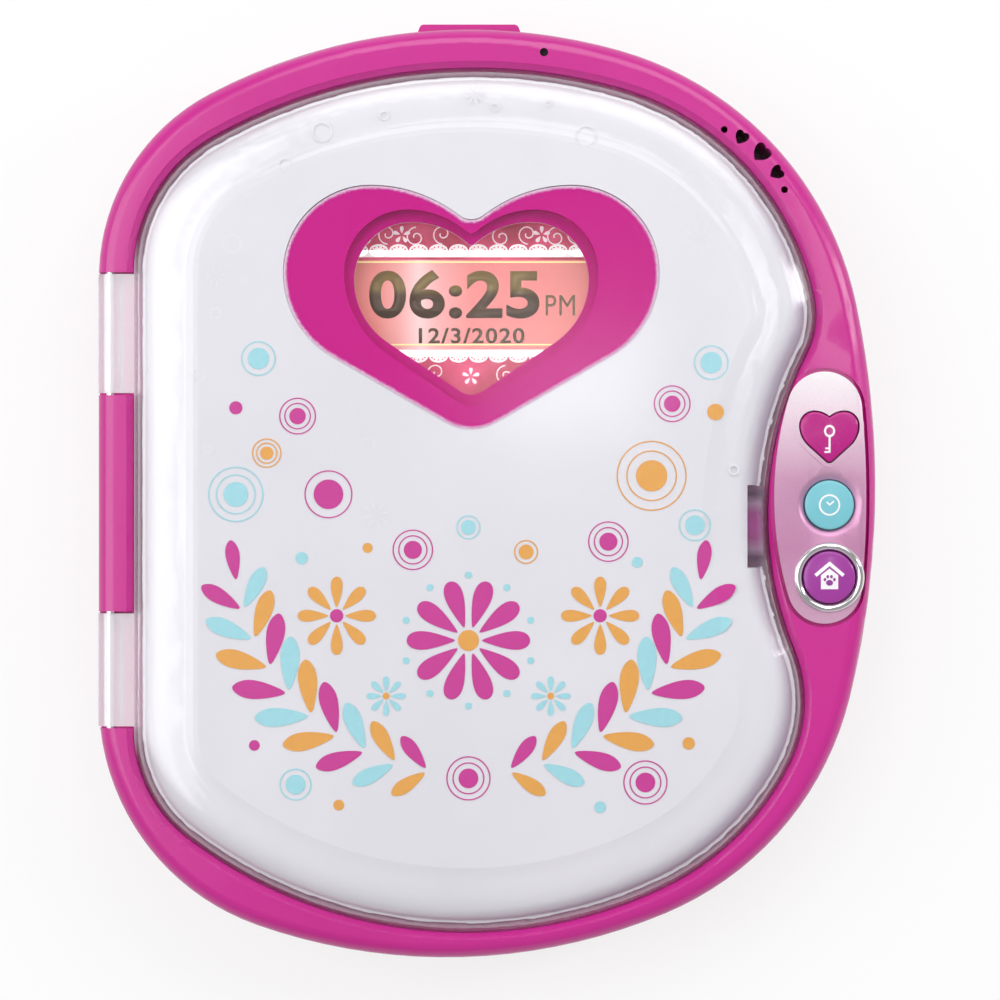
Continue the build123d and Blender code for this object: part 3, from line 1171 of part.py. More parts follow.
def battery_door_screw():
    x, y = door_screw_place()
    sizes = (SMALL_SCREW_RADIUS, SMALL_HEAD_RADIUS, DOOR_THICKNESS / 2, SMALL_SCREW_LENGTH)
    return screw(x, y, FOOT_LIFT + DOOR_THICKNESS / 2, 1, *sizes)


# Boards and wiring

def main_board():
    board = block(MAIN_X, MAIN_Y, MAIN_WIDTH, MAIN_HEIGHT, MAIN_BOTTOM, MAIN_TOP)
    for x, y in main_board_posts():
        board -= disc(x, y, SMALL_SCREW_RADIUS + SCREW_CLEARANCE, 0, CASE_HEIGHT)
    return board


def main_chips():
    """Processor, memory, crystal, capacitors and sockets on the main board."""
    top = MAIN_TOP
    chips = [
        block(MAIN_X, MAIN_Y + 6, 14, 14, top, top + 1.4),
        block(MAIN_X + 22, MAIN_Y + 8, 8, 10, top, top + 1.2),
        block(MAIN_X - 20, MAIN_Y + 8, 4, 11, top, top + 3.2),
        block(MAIN_X + 36, MAIN_Y - 8, 6, 5, top, top + 1.5),
        block(MAIN_X, MAIN_Y - MAIN_HEIGHT / 2 + SOCKET_INSET, 24, 5, top, top + SOCKET_HEIGHT),
    ]
    chips += [disc(MAIN_X - 34 + 8 * step, MAIN_Y - 14, 2.5, top, top + 5) for step in range(3)]
    return group(chips)


def board_screws():
    """The same small screw everywhere a board or bracket is held."""
    up = key_board_screws() + tray_screws()
    screws = [small_screw(x, y, KEY_BOARD_BOTTOM_Z, 1) for x, y in up]
    screws += [small_screw(x, y, MAIN_TOP, -1) for x, y in main_board_posts()]
    base_top = latch_base_bottom() + LATCH_BASE_THICKNESS
    screws += [small_screw(x, y, base_top, -1) for x, y in latch_posts()]
    side_seat = SIDE_BOARD_TOP_Z - SIDE_BOARD_THICKNESS
    screws += [small_screw(x, y, side_seat, 1) for x, y in side_bosses()]
    return group(screws)


def ribbon(x, width, points):
    """Flat cable: a thin strip of this width along points given as (y, z)."""
    path = Plane.YZ.offset(x - width / 2) * FilletPolyline(*points, radius=RIBBON_BEND)
    section = Plane(origin=path @ 0, x_dir=(1, 0, 0), z_dir=path % 0) * Pos(width / 2, 0)
    return sweep(section * Rectangle(width, RIBBON_THICKNESS), path=path)


def keyboard_ribbon():
    """From the keyboard board down to the main board's socket."""
    socket_y = MAIN_Y - MAIN_HEIGHT / 2 + SOCKET_INSET
    high = KEY_BOARD_BOTTOM_Z - RIBBON_THICKNESS
    low = MAIN_TOP + SOCKET_HEIGHT + RIBBON_THICKNESS
    points = ((socket_y - 20, high), (socket_y - 8, high), (socket_y - 8, low), (socket_y, low))
    return ribbon(MAIN_X, RIBBON_WIDTH, points)


def wire(points):
    path = FilletPolyline(*points, radius=WIRE_BEND)
    return sweep(Plane(origin=path @ 0, z_dir=path % 0) * Circle(WIRE_RADIUS), path=path)


def wire_pair(points, step):
    """Two wires side by side, the second moved by step."""
    first = wire(points)
    return group([first, Pos(*step) * first])


def speaker_wires():
    x, y = speaker_place()
    start = x - SPEAKER_RADIUS - EASE
    high = speaker_bottom() + MAGNET_DEPTH + 2
    low = MAIN_TOP + WIRE_RADIUS + EASE
    end = MAIN_X + MAIN_WIDTH / 2 - 8
    points = ((start, y, high), (start - 6, y, high), (start - 6, y, low), (end, y, low))
    return wire_pair(points, (0, WIRE_SPREAD, 0))


def battery_wires():
    """From the bay's end wall up over the main board's edge."""
    x = BAY_X + CELL_PITCH + CELL_RADIUS
    start = BAY_Y + BAY_LENGTH / 2 + BAY_WALL + EASE
    low = MAIN_TOP + WIRE_RADIUS + EASE
    edge = MAIN_Y - MAIN_HEIGHT / 2
    points = ((x, start, CELL_Z), (x, start + 12, CELL_Z - 3), (x, edge - 8, low), (x, edge + 6, low + 0.05))
    return wire_pair(points, (WIRE_SPREAD, 0, 0))


def latch_wires():
    """From the coil round the bracket to the main board's corner."""
    x = SOLENOID_X + SOLENOID_LENGTH / 3
    low = MAIN_TOP + WIRE_RADIUS + EASE
    corner_x, corner_y = MAIN_X + MAIN_WIDTH / 2, MAIN_Y - MAIN_HEIGHT / 2
    points = (
        (x, CATCH_Y + COIL_RADIUS + EASE, LATCH_Z),
        (x, CATCH_Y + 15, LATCH_Z),
        (x - 14, CATCH_Y + 22, low + 2),
        (corner_x + 8, corner_y + 10, low),
        (corner_x - 8, corner_y + 11, low),
    )
    return wire_pair(points, (0, 0, 2 * WIRE_RADIUS + EASE))


def button_wires():
    """From under the side board to the main board's edge."""
    low = MAIN_TOP + WIRE_RADIUS + EASE
    start_z = SIDE_BOARD_TOP_Z - SIDE_BOARD_THICKNESS - WIRE_RADIUS - EASE
    edge_x = MAIN_X + MAIN_WIDTH / 2
    points = (
        (SIDE_BOARD_X, HEART_BUTTON_Y, start_z),
        (SIDE_BOARD_X - 2, HEART_BUTTON_Y + 10, start_z - 2),
        (SIDE_BOARD_X - 24, HEART_BUTTON_Y + 24, low + 2),
        (edge_x - 6, HEART_BUTTON_Y + 26, low),
    )
    return wire_pair(points, (0, WIRE_SPREAD, 0))


def mic_wires():
    """Down the rim's hollow, under the ledge and on to the main board."""
    x, y = mic_place()
    low = MAIN_TOP + WIRE_RADIUS + EASE
    edge = MAIN_Y + MAIN_HEIGHT / 2
    points = (
        (x, y, ROOF_Z - MIC_BOOT - MIC_DEPTH - EASE),
        (x, y, SEAT_BOTTOM - 3),
        (x - 2, edge + 8, low + 2),
        (x - 3, edge - 6, low),
    )
    return wire_pair(points, (2 * WIRE_RADIUS + EASE, 0, 0))


PARTS = {
    "rear_case": rear_case,
    "front_frame": front_frame,
    "deck_plate": deck_plate,
    "screen_cover": screen_cover,
    "lcd_glass": lcd_glass,
    "lcd_tray": lcd_tray,
    "keypad_mat": keypad_mat,
    "keyboard_board": keyboard_board,
    "nav_domes": nav_domes,
    "control_panel": control_panel,
    "chrome_ring": chrome_ring,
    "side_button_pad": side_button_pad,
    "side_button_board": side_button_board,
    "lid_outer_shell": lid_outer_shell,
    "lid_inner_shell": lid_inner_shell,
    "lid_liner": lid_liner,
    "lid_screws": lid_screws,
    "heart_bezel": heart_bezel,
    "heart_lens": heart_lens,
    "lid_catch": lid_catch,
    "latch_housing": latch_housing,
    "latch_bolt": latch_bolt,
    "latch_spring": latch_spring,
    "solenoid_plunger": solenoid_plunger,
    "solenoid_frame": solenoid_frame,
    "solenoid_coil": solenoid_coil,
    "speaker_frame": speaker_frame,
    "speaker_cone": speaker_cone,
    "speaker_ring": speaker_ring,
    "speaker_wires": speaker_wires,
    "battery_wires": battery_wires,
    "latch_wires": latch_wires,
    "button_wires": button_wires,
    "mic_wires": mic_wires,
    "microphone": microphone,
    "mic_boot": mic_boot,
    "battery_contacts": battery_contacts,
    "battery_springs": battery_springs,
    "battery_door": battery_door,
    "battery_door_screw": battery_door_screw,
    "main_board": main_board,
    "main_chips": main_chips,
    "keyboard_ribbon": keyboard_ribbon,
    "board_screws": board_screws,
    "case_screws": case_screws,
    "rubber_feet": rubber_feet,
}
for button in side_button_faces():
    PARTS[button] = lambda button=button: side_button(button)
for key in nav_places():
    PARTS[key] = lambda key=key: nav_key(key)
for number, suffix in enumerate(("upper", "lower")):
    PARTS["hinge_pin_" + suffix] = lambda number=number: hinge_pin(number)
for number in range(CELL_COUNT):
    PARTS["battery_" + str(number + 1)] = lambda number=number: battery(number)

os.makedirs("parts", exist_ok=True)
for part_name, make in PARTS.items():
    export_step(Pos(0, -TAB_PROUD / 2, 0) * make(), "parts/" + part_name + ".step")
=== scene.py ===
import bpy
import json
import math
from mathutils import Matrix, Vector


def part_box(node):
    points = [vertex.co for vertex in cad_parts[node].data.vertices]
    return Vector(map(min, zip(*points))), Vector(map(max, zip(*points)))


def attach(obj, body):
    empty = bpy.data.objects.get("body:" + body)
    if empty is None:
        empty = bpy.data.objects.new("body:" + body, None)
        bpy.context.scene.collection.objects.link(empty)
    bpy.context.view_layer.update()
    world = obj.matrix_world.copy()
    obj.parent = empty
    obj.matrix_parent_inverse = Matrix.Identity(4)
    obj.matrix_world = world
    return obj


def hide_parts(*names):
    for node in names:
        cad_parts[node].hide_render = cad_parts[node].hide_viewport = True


# Electronic diary, closed, seen from straight above. Lengths in the dictionaries are millimetres,
# in the studio's they are metres.

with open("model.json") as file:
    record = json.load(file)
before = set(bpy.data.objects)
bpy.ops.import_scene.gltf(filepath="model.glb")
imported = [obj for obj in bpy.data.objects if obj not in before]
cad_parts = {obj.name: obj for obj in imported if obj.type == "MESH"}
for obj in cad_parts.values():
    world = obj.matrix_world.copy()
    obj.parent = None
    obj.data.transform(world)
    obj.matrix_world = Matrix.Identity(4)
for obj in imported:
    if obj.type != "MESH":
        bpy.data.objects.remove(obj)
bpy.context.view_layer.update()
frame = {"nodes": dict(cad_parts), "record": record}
nodes = frame["nodes"]
mm = 0.001
print("frame loaded:", len(nodes), "nodes")

printLift = 0.03  # how far a printed film stands above its ground
noiseSpread = {"From Min": 0.3, "From Max": 0.7}  # where nearly all of a noise texture's values lie

# small helpers


def deselectAll():
    bpy.ops.object.select_all(action="DESELECT")


def activate(piece):
    deselectAll()
    piece.select_set(True)
    bpy.context.view_layer.objects.active = piece


def editAll(piece):
    # edit mode with the whole mesh selected
    activate(piece)
    bpy.ops.object.mode_set(mode="EDIT")
    bpy.ops.mesh.select_all(action="SELECT")


def endEdit():
    bpy.ops.object.mode_set(mode="OBJECT")


def applyModifier(piece, kind, **settings):
    activate(piece)
    modifier = piece.modifiers.new(kind, kind)
    for name, value in settings.items():
        setattr(modifier, name, value)
    bpy.ops.object.modifier_apply(modifier=modifier.name)


def stampCopy(master, matrix):
    # a copy with its own mesh, put down by a matrix in millimetres
    copy = master.copy()
    copy.data = master.data.copy()
    copy.data.transform(Matrix.Scale(mm, 4) @ matrix)
    bpy.context.scene.collection.objects.link(copy)
    return copy


def placed(x, y, turn=0.0, sizeX=1.0, sizeY=None):
    scale = Matrix.Diagonal((sizeX, sizeX if sizeY is None else sizeY, 1.0, 1.0))
    return Matrix.Translation((x, y, 0)) @ Matrix.Rotation(turn, 4, "Z") @ scale


def joinPieces(name, pieces):
    deselectAll()
    for piece in pieces:
        piece.select_set(True)
    bpy.context.view_layer.objects.active = pieces[0]
    if len(pieces) > 1:
        bpy.ops.object.join()
    whole = bpy.context.view_layer.objects.active
    whole.name = name
    whole.data.name = name
    return whole


def finishPiece(piece, body, material):
    piece.data.materials.clear()
    piece.data.materials.append(material)
    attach(piece, body)


def printFilm(name, parts, height, film, body, material):
    # flat shapes joined into one thin film at this height
    piece = joinPieces(name, parts)
    piece.data.transform(Matrix.Translation((0, 0, height * mm)))
    applyModifier(piece, "SOLIDIFY", thickness=film * mm, offset=-1)
    finishPiece(piece, body, material)


def removeMasters(masters):
    for master in masters:
        bpy.data.objects.remove(master)


def flatOutline(name, points):
    # a filled flat shape in the XY plane from a circle whose points are moved onto the outline
    deselectAll()
    bpy.ops.mesh.primitive_circle_add(vertices=len(points), radius=1, fill_type="NGON")
    shape = bpy.context.object
    shape.name = name
    for vertex, (x, y) in zip(shape.data.vertices, points):
        vertex.co = (x, y, 0)
    return shape


def flatRing(name, outer, inner, count):
    # a flat ring: an edge circle, extruded inwards
    deselectAll()
    bpy.ops.mesh.primitive_circle_add(vertices=count, radius=outer, fill_type="NOTHING")
    ring = bpy.context.object
    ring.name = name
    editAll(ring)
    bpy.ops.mesh.extrude_edges_move()
    bpy.ops.transform.resize(value=(inner / outer, inner / outer, 1), center_override=(0, 0, 0))
    endEdit()
    return ring


def textMesh(text, **settings):
    # flat letters as a mesh
    deselectAll()
    bpy.ops.object.text_add(location=(0, 0, 0))
    words = bpy.context.object
    words.data.body = text
    for name, value in settings.items():
        setattr(words.data, name, value)
    activate(words)
    bpy.ops.object.convert(target="MESH")
    return bpy.context.object


def linear(hexColour):
    # a hex colour as the linear values that the sockets take
    values = [int(hexColour[place:place + 2], 16) / 255 for place in (1, 3, 5)]
    return tuple(v / 12.92 if v <= 0.04045 else ((v + 0.055) / 1.055) ** 2.4 for v in values) + (1.0,)


def addNode(tree, kind, settings=None, links=None):
    # a node with its settings and links; "stops" are a ramp's places and colours
    node = tree.nodes.new(kind)
    for name, value in (settings or {}).items():
        if name == "stops":
            elements = node.color_ramp.elements
            for element, (place, colour) in zip(elements, (value[0], value[-1])):
                element.position, element.color = place, linear(colour)
            for place, colour in value[1:-1]:
                elements.new(place).color = linear(colour)
        elif isinstance(name, int) or name in node.inputs:
            node.inputs[name].default_value = value
        else:
            setattr(node, name, value)
    for name, source in (links or {}).items():
        tree.links.new(source, node.inputs[name])
    return node


def newMaterial(name, constants):
    # a Principled material with its constants on the shader's own sockets
    material = bpy.data.materials.new(name)
    material.use_nodes = True
    tree = material.node_tree
    shader = tree.nodes["Principled BSDF"]
    for socket, value in constants.items():
        shader.inputs[socket].default_value = value
    return material, tree, shader


def objectPoint(tree):
    return addNode(tree, "ShaderNodeTexCoord").outputs["Object"]


def shareAlong(tree, axis, startMm, endMm, settings=None):
    # how far a point lies along an axis: 0 at the start and 1 at the end, or as the settings say
    split = addNode(tree, "ShaderNodeSeparateXYZ", {}, {0: objectPoint(tree)})
    span = {"From Min": startMm * mm, "From Max": endMm * mm, **(settings or {})}
    return addNode(tree, "ShaderNodeMapRange", span, {"Value": split.outputs[axis]}).outputs["Result"]


def addGrain(tree, shader, grainMm, depthMm):
    # moulded surface texture: bumps of this width and depth
    noise = addNode(tree, "ShaderNodeTexNoise", {"Scale": 1 / (grainMm * mm), "Detail": 2.0},
                    {"Vector": objectPoint(tree)})
    bump = addNode(tree, "ShaderNodeBump", {"Strength": 1.0, "Distance": depthMm * mm},
                   {"Height": noise.outputs["Fac"]})
    tree.links.new(bump.outputs["Normal"], shader.inputs["Normal"])


def addMottle(tree, shader, hexLight, hexDark, widthMm):
    # slow colour drift, as between gate and far end of a moulding
    noise = addNode(tree, "ShaderNodeTexNoise", {"Scale": 1 / (widthMm * mm), "Detail": 3.0},
                    {"Vector": objectPoint(tree)})
    ramp = addNode(tree, "ShaderNodeValToRGB", {"stops": ((0.3, hexDark), (0.7, hexLight))},
                   {"Fac": noise.outputs["Fac"]})
    tree.links.new(ramp.outputs["Color"], shader.inputs["Base Color"])
    return ramp


def addRoughness(tree, shader, low, high, widthMm):
    # handling marks: the gloss varies a little over the surface
    noise = addNode(tree, "ShaderNodeTexNoise", {"Scale": 1 / (widthMm * mm), "Detail": 4.0},
                    {"Vector": objectPoint(tree)})
    spread = addNode(tree, "ShaderNodeMapRange", {**noiseSpread, "To Min": low, "To Max": high},
                     {"Value": noise.outputs["Fac"]})
    tree.links.new(spread.outputs["Result"], shader.inputs["Roughness"])


# materials, each named for the real one


def polishedAbs(name, hexLight, hexDark):
    # ABS moulded against polished steel: deep colour under a clean gloss, faint orange peel
    material, tree, shader = newMaterial(name, {"IOR": 1.54, "Coat Weight": 0.12, "Coat Roughness": 0.05})
    addMottle(tree, shader, hexLight, hexDark, 60)
    addRoughness(tree, shader, 0.2, 0.28, 25)
    addGrain(tree, shader, 2.5, 0.006)
    return material


def satinAbs(name, hexLight, hexDark, grainMm=0.5):
    # ABS moulded against spark-eroded steel: a fine even matt grain
    material, tree, shader = newMaterial(name, {"IOR": 1.54})
    addMottle(tree, shader, hexLight, hexDark, 45)
    addRoughness(tree, shader, 0.42, 0.52, 15)
    addGrain(tree, shader, grainMm, 0.02)
    return material


def letLampsThrough(tree, shader):
    # clear plastic this thin hardly dims what lies under it: lamp light and light from pale walls pass
    output = tree.nodes["Material Output"]
    rays = addNode(tree, "ShaderNodeLightPath")
    clear = addNode(tree, "ShaderNodeBsdfTransparent", {"Color": (0.97, 0.97, 0.975, 1)})
    walls = addNode(tree, "ShaderNodeMixShader", {}, {
        0: rays.outputs["Is Diffuse Ray"], 1: shader.outputs["BSDF"], 2: clear.outputs["BSDF"]})
    lamps = addNode(tree, "ShaderNodeMixShader", {}, {
        0: rays.outputs["Is Shadow Ray"], 1: walls.outputs["Shader"], 2: clear.outputs["BSDF"]})
    tree.links.new(lamps.outputs["Shader"], output.inputs["Surface"])


def clearAcrylic(name, hexTint, roughness):
    # polished clear acrylic: bright reflections over whatever lies behind it; left of x = -85 mm, over the
    # hinge knuckles, less clear and whiter, a painted highlight for the white streaks along them
    material, tree, shader = newMaterial(name, {
        "Base Color": linear(hexTint), "IOR": 1.49, "Transmission Weight": 1.0, "Roughness": roughness})
    # painted highlight: the knuckles turn partly diffuse white
    paintedKnuckleHighlight = shareAlong(tree, "X", -85.0, -86.0, {"To Min": 1.0, "To Max": 0.64})
    tree.links.new(paintedKnuckleHighlight, shader.inputs["Transmission Weight"])
    addGrain(tree, shader, 6, 0.004)
    letLampsThrough(tree, shader)
    return material


def polishedWindow(name):
    # thin clear window with a hard coat: it hardly bends what is behind it (so a low IOR), and all
    # its gloss is the coat's, a soft bloom
    material, tree, shader = newMaterial(name, {
        "Base Color": linear("#FDFCFD"), "IOR": 1.05, "Transmission Weight": 1.0, "Roughness": 0.0,
        "Coat Weight": 0.5, "Coat Roughness": 0.13, "Coat IOR": 1.5})
    addGrain(tree, shader, 6, 0.004)
    letLampsThrough(tree, shader)
    return material


def pearlAbs(name):
    # white ABS with a pearl pigment: a soft grey sheen that shifts slowly; painted shade, a grey-lilac,
    #  on the faces that turn down at the shell's right and lower edge, away from the lamps
    paintedShadeSide = (0.88, -0.48, 0.0)
    material, tree, shader = newMaterial(
        name, {"IOR": 1.54, "Sheen Weight": 0.15, "Sheen Roughness": 0.4, "Coat Weight": 0.2})
    ramp = addMottle(tree, shader, "#E9E7EB", "#E1DFE4", 70)
    facing = addNode(tree, "ShaderNodeNewGeometry")
    lean = addNode(tree, "ShaderNodeVectorMath", {"operation": "DOT_PRODUCT", 1: paintedShadeSide},
                   {0: facing.outputs["Normal"]})
    edge = addNode(tree, "ShaderNodeMapRange", {"From Min": 0.2, "From Max": 0.62, "To Max": 0.85},
                   {"Value": lean.outputs["Value"]})
    # painted shade: faces that lean to the lower right turn grey-lilac
    paintedShade = addNode(tree, "ShaderNodeMix", {"data_type": "RGBA", 7: linear("#B3A5B6")}, {
        0: edge.outputs["Result"], 6: ramp.outputs["Color"]})
    tree.links.new(paintedShade.outputs[2], shader.inputs["Base Color"])
    addRoughness(tree, shader, 0.32, 0.4, 20)
    addGrain(tree, shader, 0.7, 0.008)
    return material


def sprayedPlastic(name):
    # paint that lies against the back of a clear lens: even magenta, fine specks, no gloss of its own
    material, tree, shader = newMaterial(name, {"IOR": 1.5, "Roughness": 0.6, "Specular IOR Level": 0.0})
    specks = addNode(tree, "ShaderNodeTexNoise", {"Scale": 1 / (0.35 * mm), "Detail": 3.0},
                     {"Vector": objectPoint(tree)})
    ramp = addNode(tree, "ShaderNodeValToRGB", {"stops": ((0.35, "#C60C84"), (0.75, "#CE1E8E"))},
                   {"Fac": specks.outputs["Fac"]})
    tree.links.new(ramp.outputs["Color"], shader.inputs["Base Color"])
    addGrain(tree, shader, 0.35, 0.01)
    return material


def sprayHaze(name):
    # overspray round the magenta: specks that thin out to the bare pearl plastic at the very edge
    material, tree, shader = newMaterial(name, {"IOR": 1.5, "Roughness": 0.6, "Specular IOR Level": 0.0})
    edge = addNode(tree, "ShaderNodeAttribute", {"attribute_name": "haze"})
    specks = addNode(tree, "ShaderNodeTexNoise", {"Scale": 1 / (0.3 * mm), "Detail": 2.0},
                     {"Vector": objectPoint(tree)})
    mist = addNode(tree, "ShaderNodeMapRange", {**noiseSpread, "To Min": -0.3, "To Max": 0.3},
                   {"Value": specks.outputs["Fac"]})
    total = addNode(tree, "ShaderNodeMath", {"operation": "ADD"},
                    {0: edge.outputs["Fac"], 1: mist.outputs["Result"]})
    ramp = addNode(tree, "ShaderNodeValToRGB", {"stops": ((0.15, "#C6188F"), (0.95, "#E6CDE0"))},
                   {"Fac": total.outputs[0]})
    tree.links.new(ramp.outputs["Color"], shader.inputs["Base Color"])
    addGrain(tree, shader, 0.3, 0.01)
    return material


def metallicPaint(name):
    # silver paint with a pink tint: fine aluminium flakes under a thin lacquer; paler up to white towards the
    # top end, a painted reflection
    tonesWithPaintedLight = ((0.0, "#DDAFCB"), (0.3, "#CE90B8"), (0.55, "#D8A2C4"), (0.76, "#F3D9E8"), (1.0, "#FFFFFF"))
    material, tree, shader = newMaterial(
        name, {"Metallic": 0.6, "Coat Weight": 0.4, "Coat Roughness": 0.12, "Roughness": 0.38})
    flakes = addNode(tree, "ShaderNodeTexVoronoi", {"Scale": 1 / (0.22 * mm)}, {"Vector": objectPoint(tree)})
    # pink paint tones along the panel, whitening at the top end: a painted reflection
    tintWithPaintedReflection = addNode(tree, "ShaderNodeValToRGB", {"stops": tonesWithPaintedLight}, {"Fac": shareAlong(tree, "Y", -34.0, 33.0)})
    glint = addNode(tree, "ShaderNodeMapRange", {"From Max": 0.9, "To Min": 1.0, "To Max": 0.86},
                    {"Value": flakes.outputs["Distance"]})
    tint = addNode(tree, "ShaderNodeMix", {"data_type": "RGBA", "blend_type": "MULTIPLY", 0: 1.0}, {
        6: tintWithPaintedReflection.outputs["Color"], 7: glint.outputs["Result"]})
    tree.links.new(tint.outputs[2], shader.inputs["Base Color"])
    addGrain(tree, shader, 0.25, 0.01)
    return material


def chromePlate(name, hexColour="#E9E6E8"):
    # bright chrome plating or ground steel: a near mirror with a trace of waviness
    material, tree, shader = newMaterial(
        name, {"Base Color": linear(hexColour), "Metallic": 1.0, "Roughness": 0.07})
    addGrain(tree, shader, 4, 0.004)
    return material


def brushedSteel(name, hexColour="#C9CACD"):
    # drawn or rolled steel: fine lines along the part, soft highlights
    material, tree, shader = newMaterial(name, {"Base Color": linear(hexColour), "Metallic": 1.0})
    addRoughness(tree, shader, 0.22, 0.36, 3)
    addGrain(tree, shader, 0.3, 0.005)
    return material


def softSilicone(name, hexLight, hexDark):
    # moulded silicone rubber: matt, slightly see-through edges, a waxy look
    material, tree, shader = newMaterial(
        name, {"IOR": 1.42, "Subsurface Weight": 0.2, "Subsurface Radius": (0.003, 0.002, 0.002)})
    addMottle(tree, shader, hexLight, hexDark, 20)
    addRoughness(tree, shader, 0.5, 0.62, 8)
    addGrain(tree, shader, 0.4, 0.01)
    return material


def circuitBoard(name):
    # glass-epoxy board under green solder mask: darker weave, lighter tracks
    material, tree, shader = newMaterial(name, {"IOR": 1.5, "Coat Weight": 0.3, "Roughness": 0.35})
    tracks = addNode(tree, "ShaderNodeTexBrick", {
        "Scale": 1 / (6 * mm), "Mortar Size": 0.03, "Mortar": linear("#2F8A4E"),
        "Color1": linear("#0F5A2C"), "Color2": linear("#0D4F27")}, {"Vector": objectPoint(tree)})
    tree.links.new(tracks.outputs["Color"], shader.inputs["Base Color"])
    addGrain(tree, shader, 0.6, 0.01)
    return material


def screenPrint(name, hexColour):
    # screen-printed ink: flat opaque colour with a slightly uneven film
    material, tree, shader = newMaterial(name, {"IOR": 1.5, "Roughness": 0.45})
    ink = addNode(tree, "ShaderNodeTexNoise", {"Scale": 1 / (1.2 * mm), "Detail": 2.0},
                  {"Vector": objectPoint(tree)})
    shade = addNode(tree, "ShaderNodeMapRange", {**noiseSpread, "To Min": 0.96, "To Max": 1.04},
                    {"Value": ink.outputs["Fac"]})
    tint = addNode(tree, "ShaderNodeMix", {
        "data_type": "RGBA", "blend_type": "MULTIPLY", 0: 1.0, 6: linear(hexColour)},
        {7: shade.outputs["Result"]})
    tree.links.new(tint.outputs[2], shader.inputs["Base Color"])
    addGrain(tree, shader, 0.3, 0.004)
    return material


def pvcWire(name, hexColour):
    # PVC insulation: smooth extruded skin
    material, tree, shader = newMaterial(name, {
        "Base Color": linear(hexColour), "IOR": 1.53, "Roughness": 0.4})
    addGrain(tree, shader, 1.0, 0.01)
    return material


def cellSleeve(name):
    # dry cell in a printed plastic sleeve: dark body with a copper-coloured band at one end
    material, tree, shader = newMaterial(name, {"IOR": 1.5, "Roughness": 0.3, "Coat Weight": 0.3})
    ramp = addNode(tree, "ShaderNodeValToRGB", {"stops": ((0.0, "#24262B"), (1.0, "#B8743A"))},
                   {"Fac": shareAlong(tree, "Y", -36.0, -35.5)})
    tree.links.new(ramp.outputs["Color"], shader.inputs["Base Color"])
    addGrain(tree, shader, 2, 0.004)
    return material


def litDisplay(name, settings):
    # backlit colour display: the picture glows evenly; a sheen runs across its middle band, and
    # crimson clouds lie above and below it
    material, tree, shader = newMaterial(name, {"IOR": 1.5, "Roughness": 0.3, "Emission Strength": 0.22})
    split = addNode(tree, "ShaderNodeSeparateXYZ", {}, {0: objectPoint(tree)})
    middle = addNode(tree, "ShaderNodeValToRGB", {"stops": settings["sheen"]},
                     {"Fac": shareAlong(tree, "X", settings["left"], settings["right"])})
    clouds = addNode(tree, "ShaderNodeTexNoise", {"Scale": 1 / (9 * mm), "Detail": 2.0},
                     {"Vector": objectPoint(tree)})
    outer = addNode(tree, "ShaderNodeValToRGB", {"stops": settings["clouds"]}, {"Fac": clouds.outputs["Fac"]})
    distance = addNode(tree, "ShaderNodeMath", {"operation": "SUBTRACT", 1: settings["middleY"] * mm},
                       {0: split.outputs["Y"]})
    away = addNode(tree, "ShaderNodeMath", {"operation": "ABSOLUTE"}, {0: distance.outputs[0]})
    outside = addNode(tree, "ShaderNodeMath", {"operation": "GREATER_THAN", 1: settings["halfBand"] * mm},
                      {0: away.outputs[0]})
    picture = addNode(tree, "ShaderNodeMix", {"data_type": "RGBA"}, {
        0: outside.outputs[0], 6: middle.outputs["Color"], 7: outer.outputs["Color"]})
    tree.links.new(picture.outputs[2], shader.inputs["Base Color"])
    tree.links.new(picture.outputs[2], shader.inputs["Emission Color"])
    return material


def litInk(name, hexTop, hexFoot=None, lowY=0.0, highY=1.0, glow=0.35):
    # what the display draws: glows like the picture behind it; two tones by height where asked
    material, tree, shader = newMaterial(name, {"Roughness": 0.4, "Emission Strength": glow})
    ramp = addNode(tree, "ShaderNodeValToRGB", {"stops": ((0.42, hexFoot or hexTop), (0.6, hexTop))},
                   {"Fac": shareAlong(tree, "Y", lowY, highY)})
    tree.links.new(ramp.outputs["Color"], shader.inputs["Base Color"])
    tree.links.new(ramp.outputs["Color"], shader.inputs["Emission Color"])
    return material


def smokedCatch(name):
    # tinted clear-violet plastic over the magenta case: magenta middle; both ends darkened by painted shade,
    # where the catch sits deep in its notch
    tonesWithPaintedLight = ((0.0, "#6A4560"), (0.12, "#4A2442"), (0.22, "#8F6A88"), (0.36, "#8A2F72"), (0.5, "#983080"),
             (0.66, "#8A2F72"), (0.78, "#8F6A88"), (0.9, "#3F1C38"), (1.0, "#7A4A6C"))
    material, tree, shader = newMaterial(name, {"IOR": 1.49, "Roughness": 0.12, "Coat Weight": 0.5})
    # painted shade: the tones darken towards both ends of the catch
    ramp = addNode(tree, "ShaderNodeValToRGB", {"stops": tonesWithPaintedLight}, {"Fac": shareAlong(tree, "Y", -18.7, 1.1)})
    tree.links.new(ramp.outputs["Color"], shader.inputs["Base Color"])
    addGrain(tree, shader, 2, 0.006)
    return material


display = {
    "left": -33.0, "right": 25.0, "middleY": 45.65, "halfBand": 11.0,
    "sheen": ((0.0, "#E2857C"), (0.1, "#E98A81"), (0.2, "#F2ACA6"), (0.28, "#F7D6D2"), (0.36, "#F3AFAA"),
              (0.5, "#F08F8A"), (1.0, "#EC8F88")),
    "clouds": ((0.35, "#B9254C"), (0.65, "#E4507C")),
}

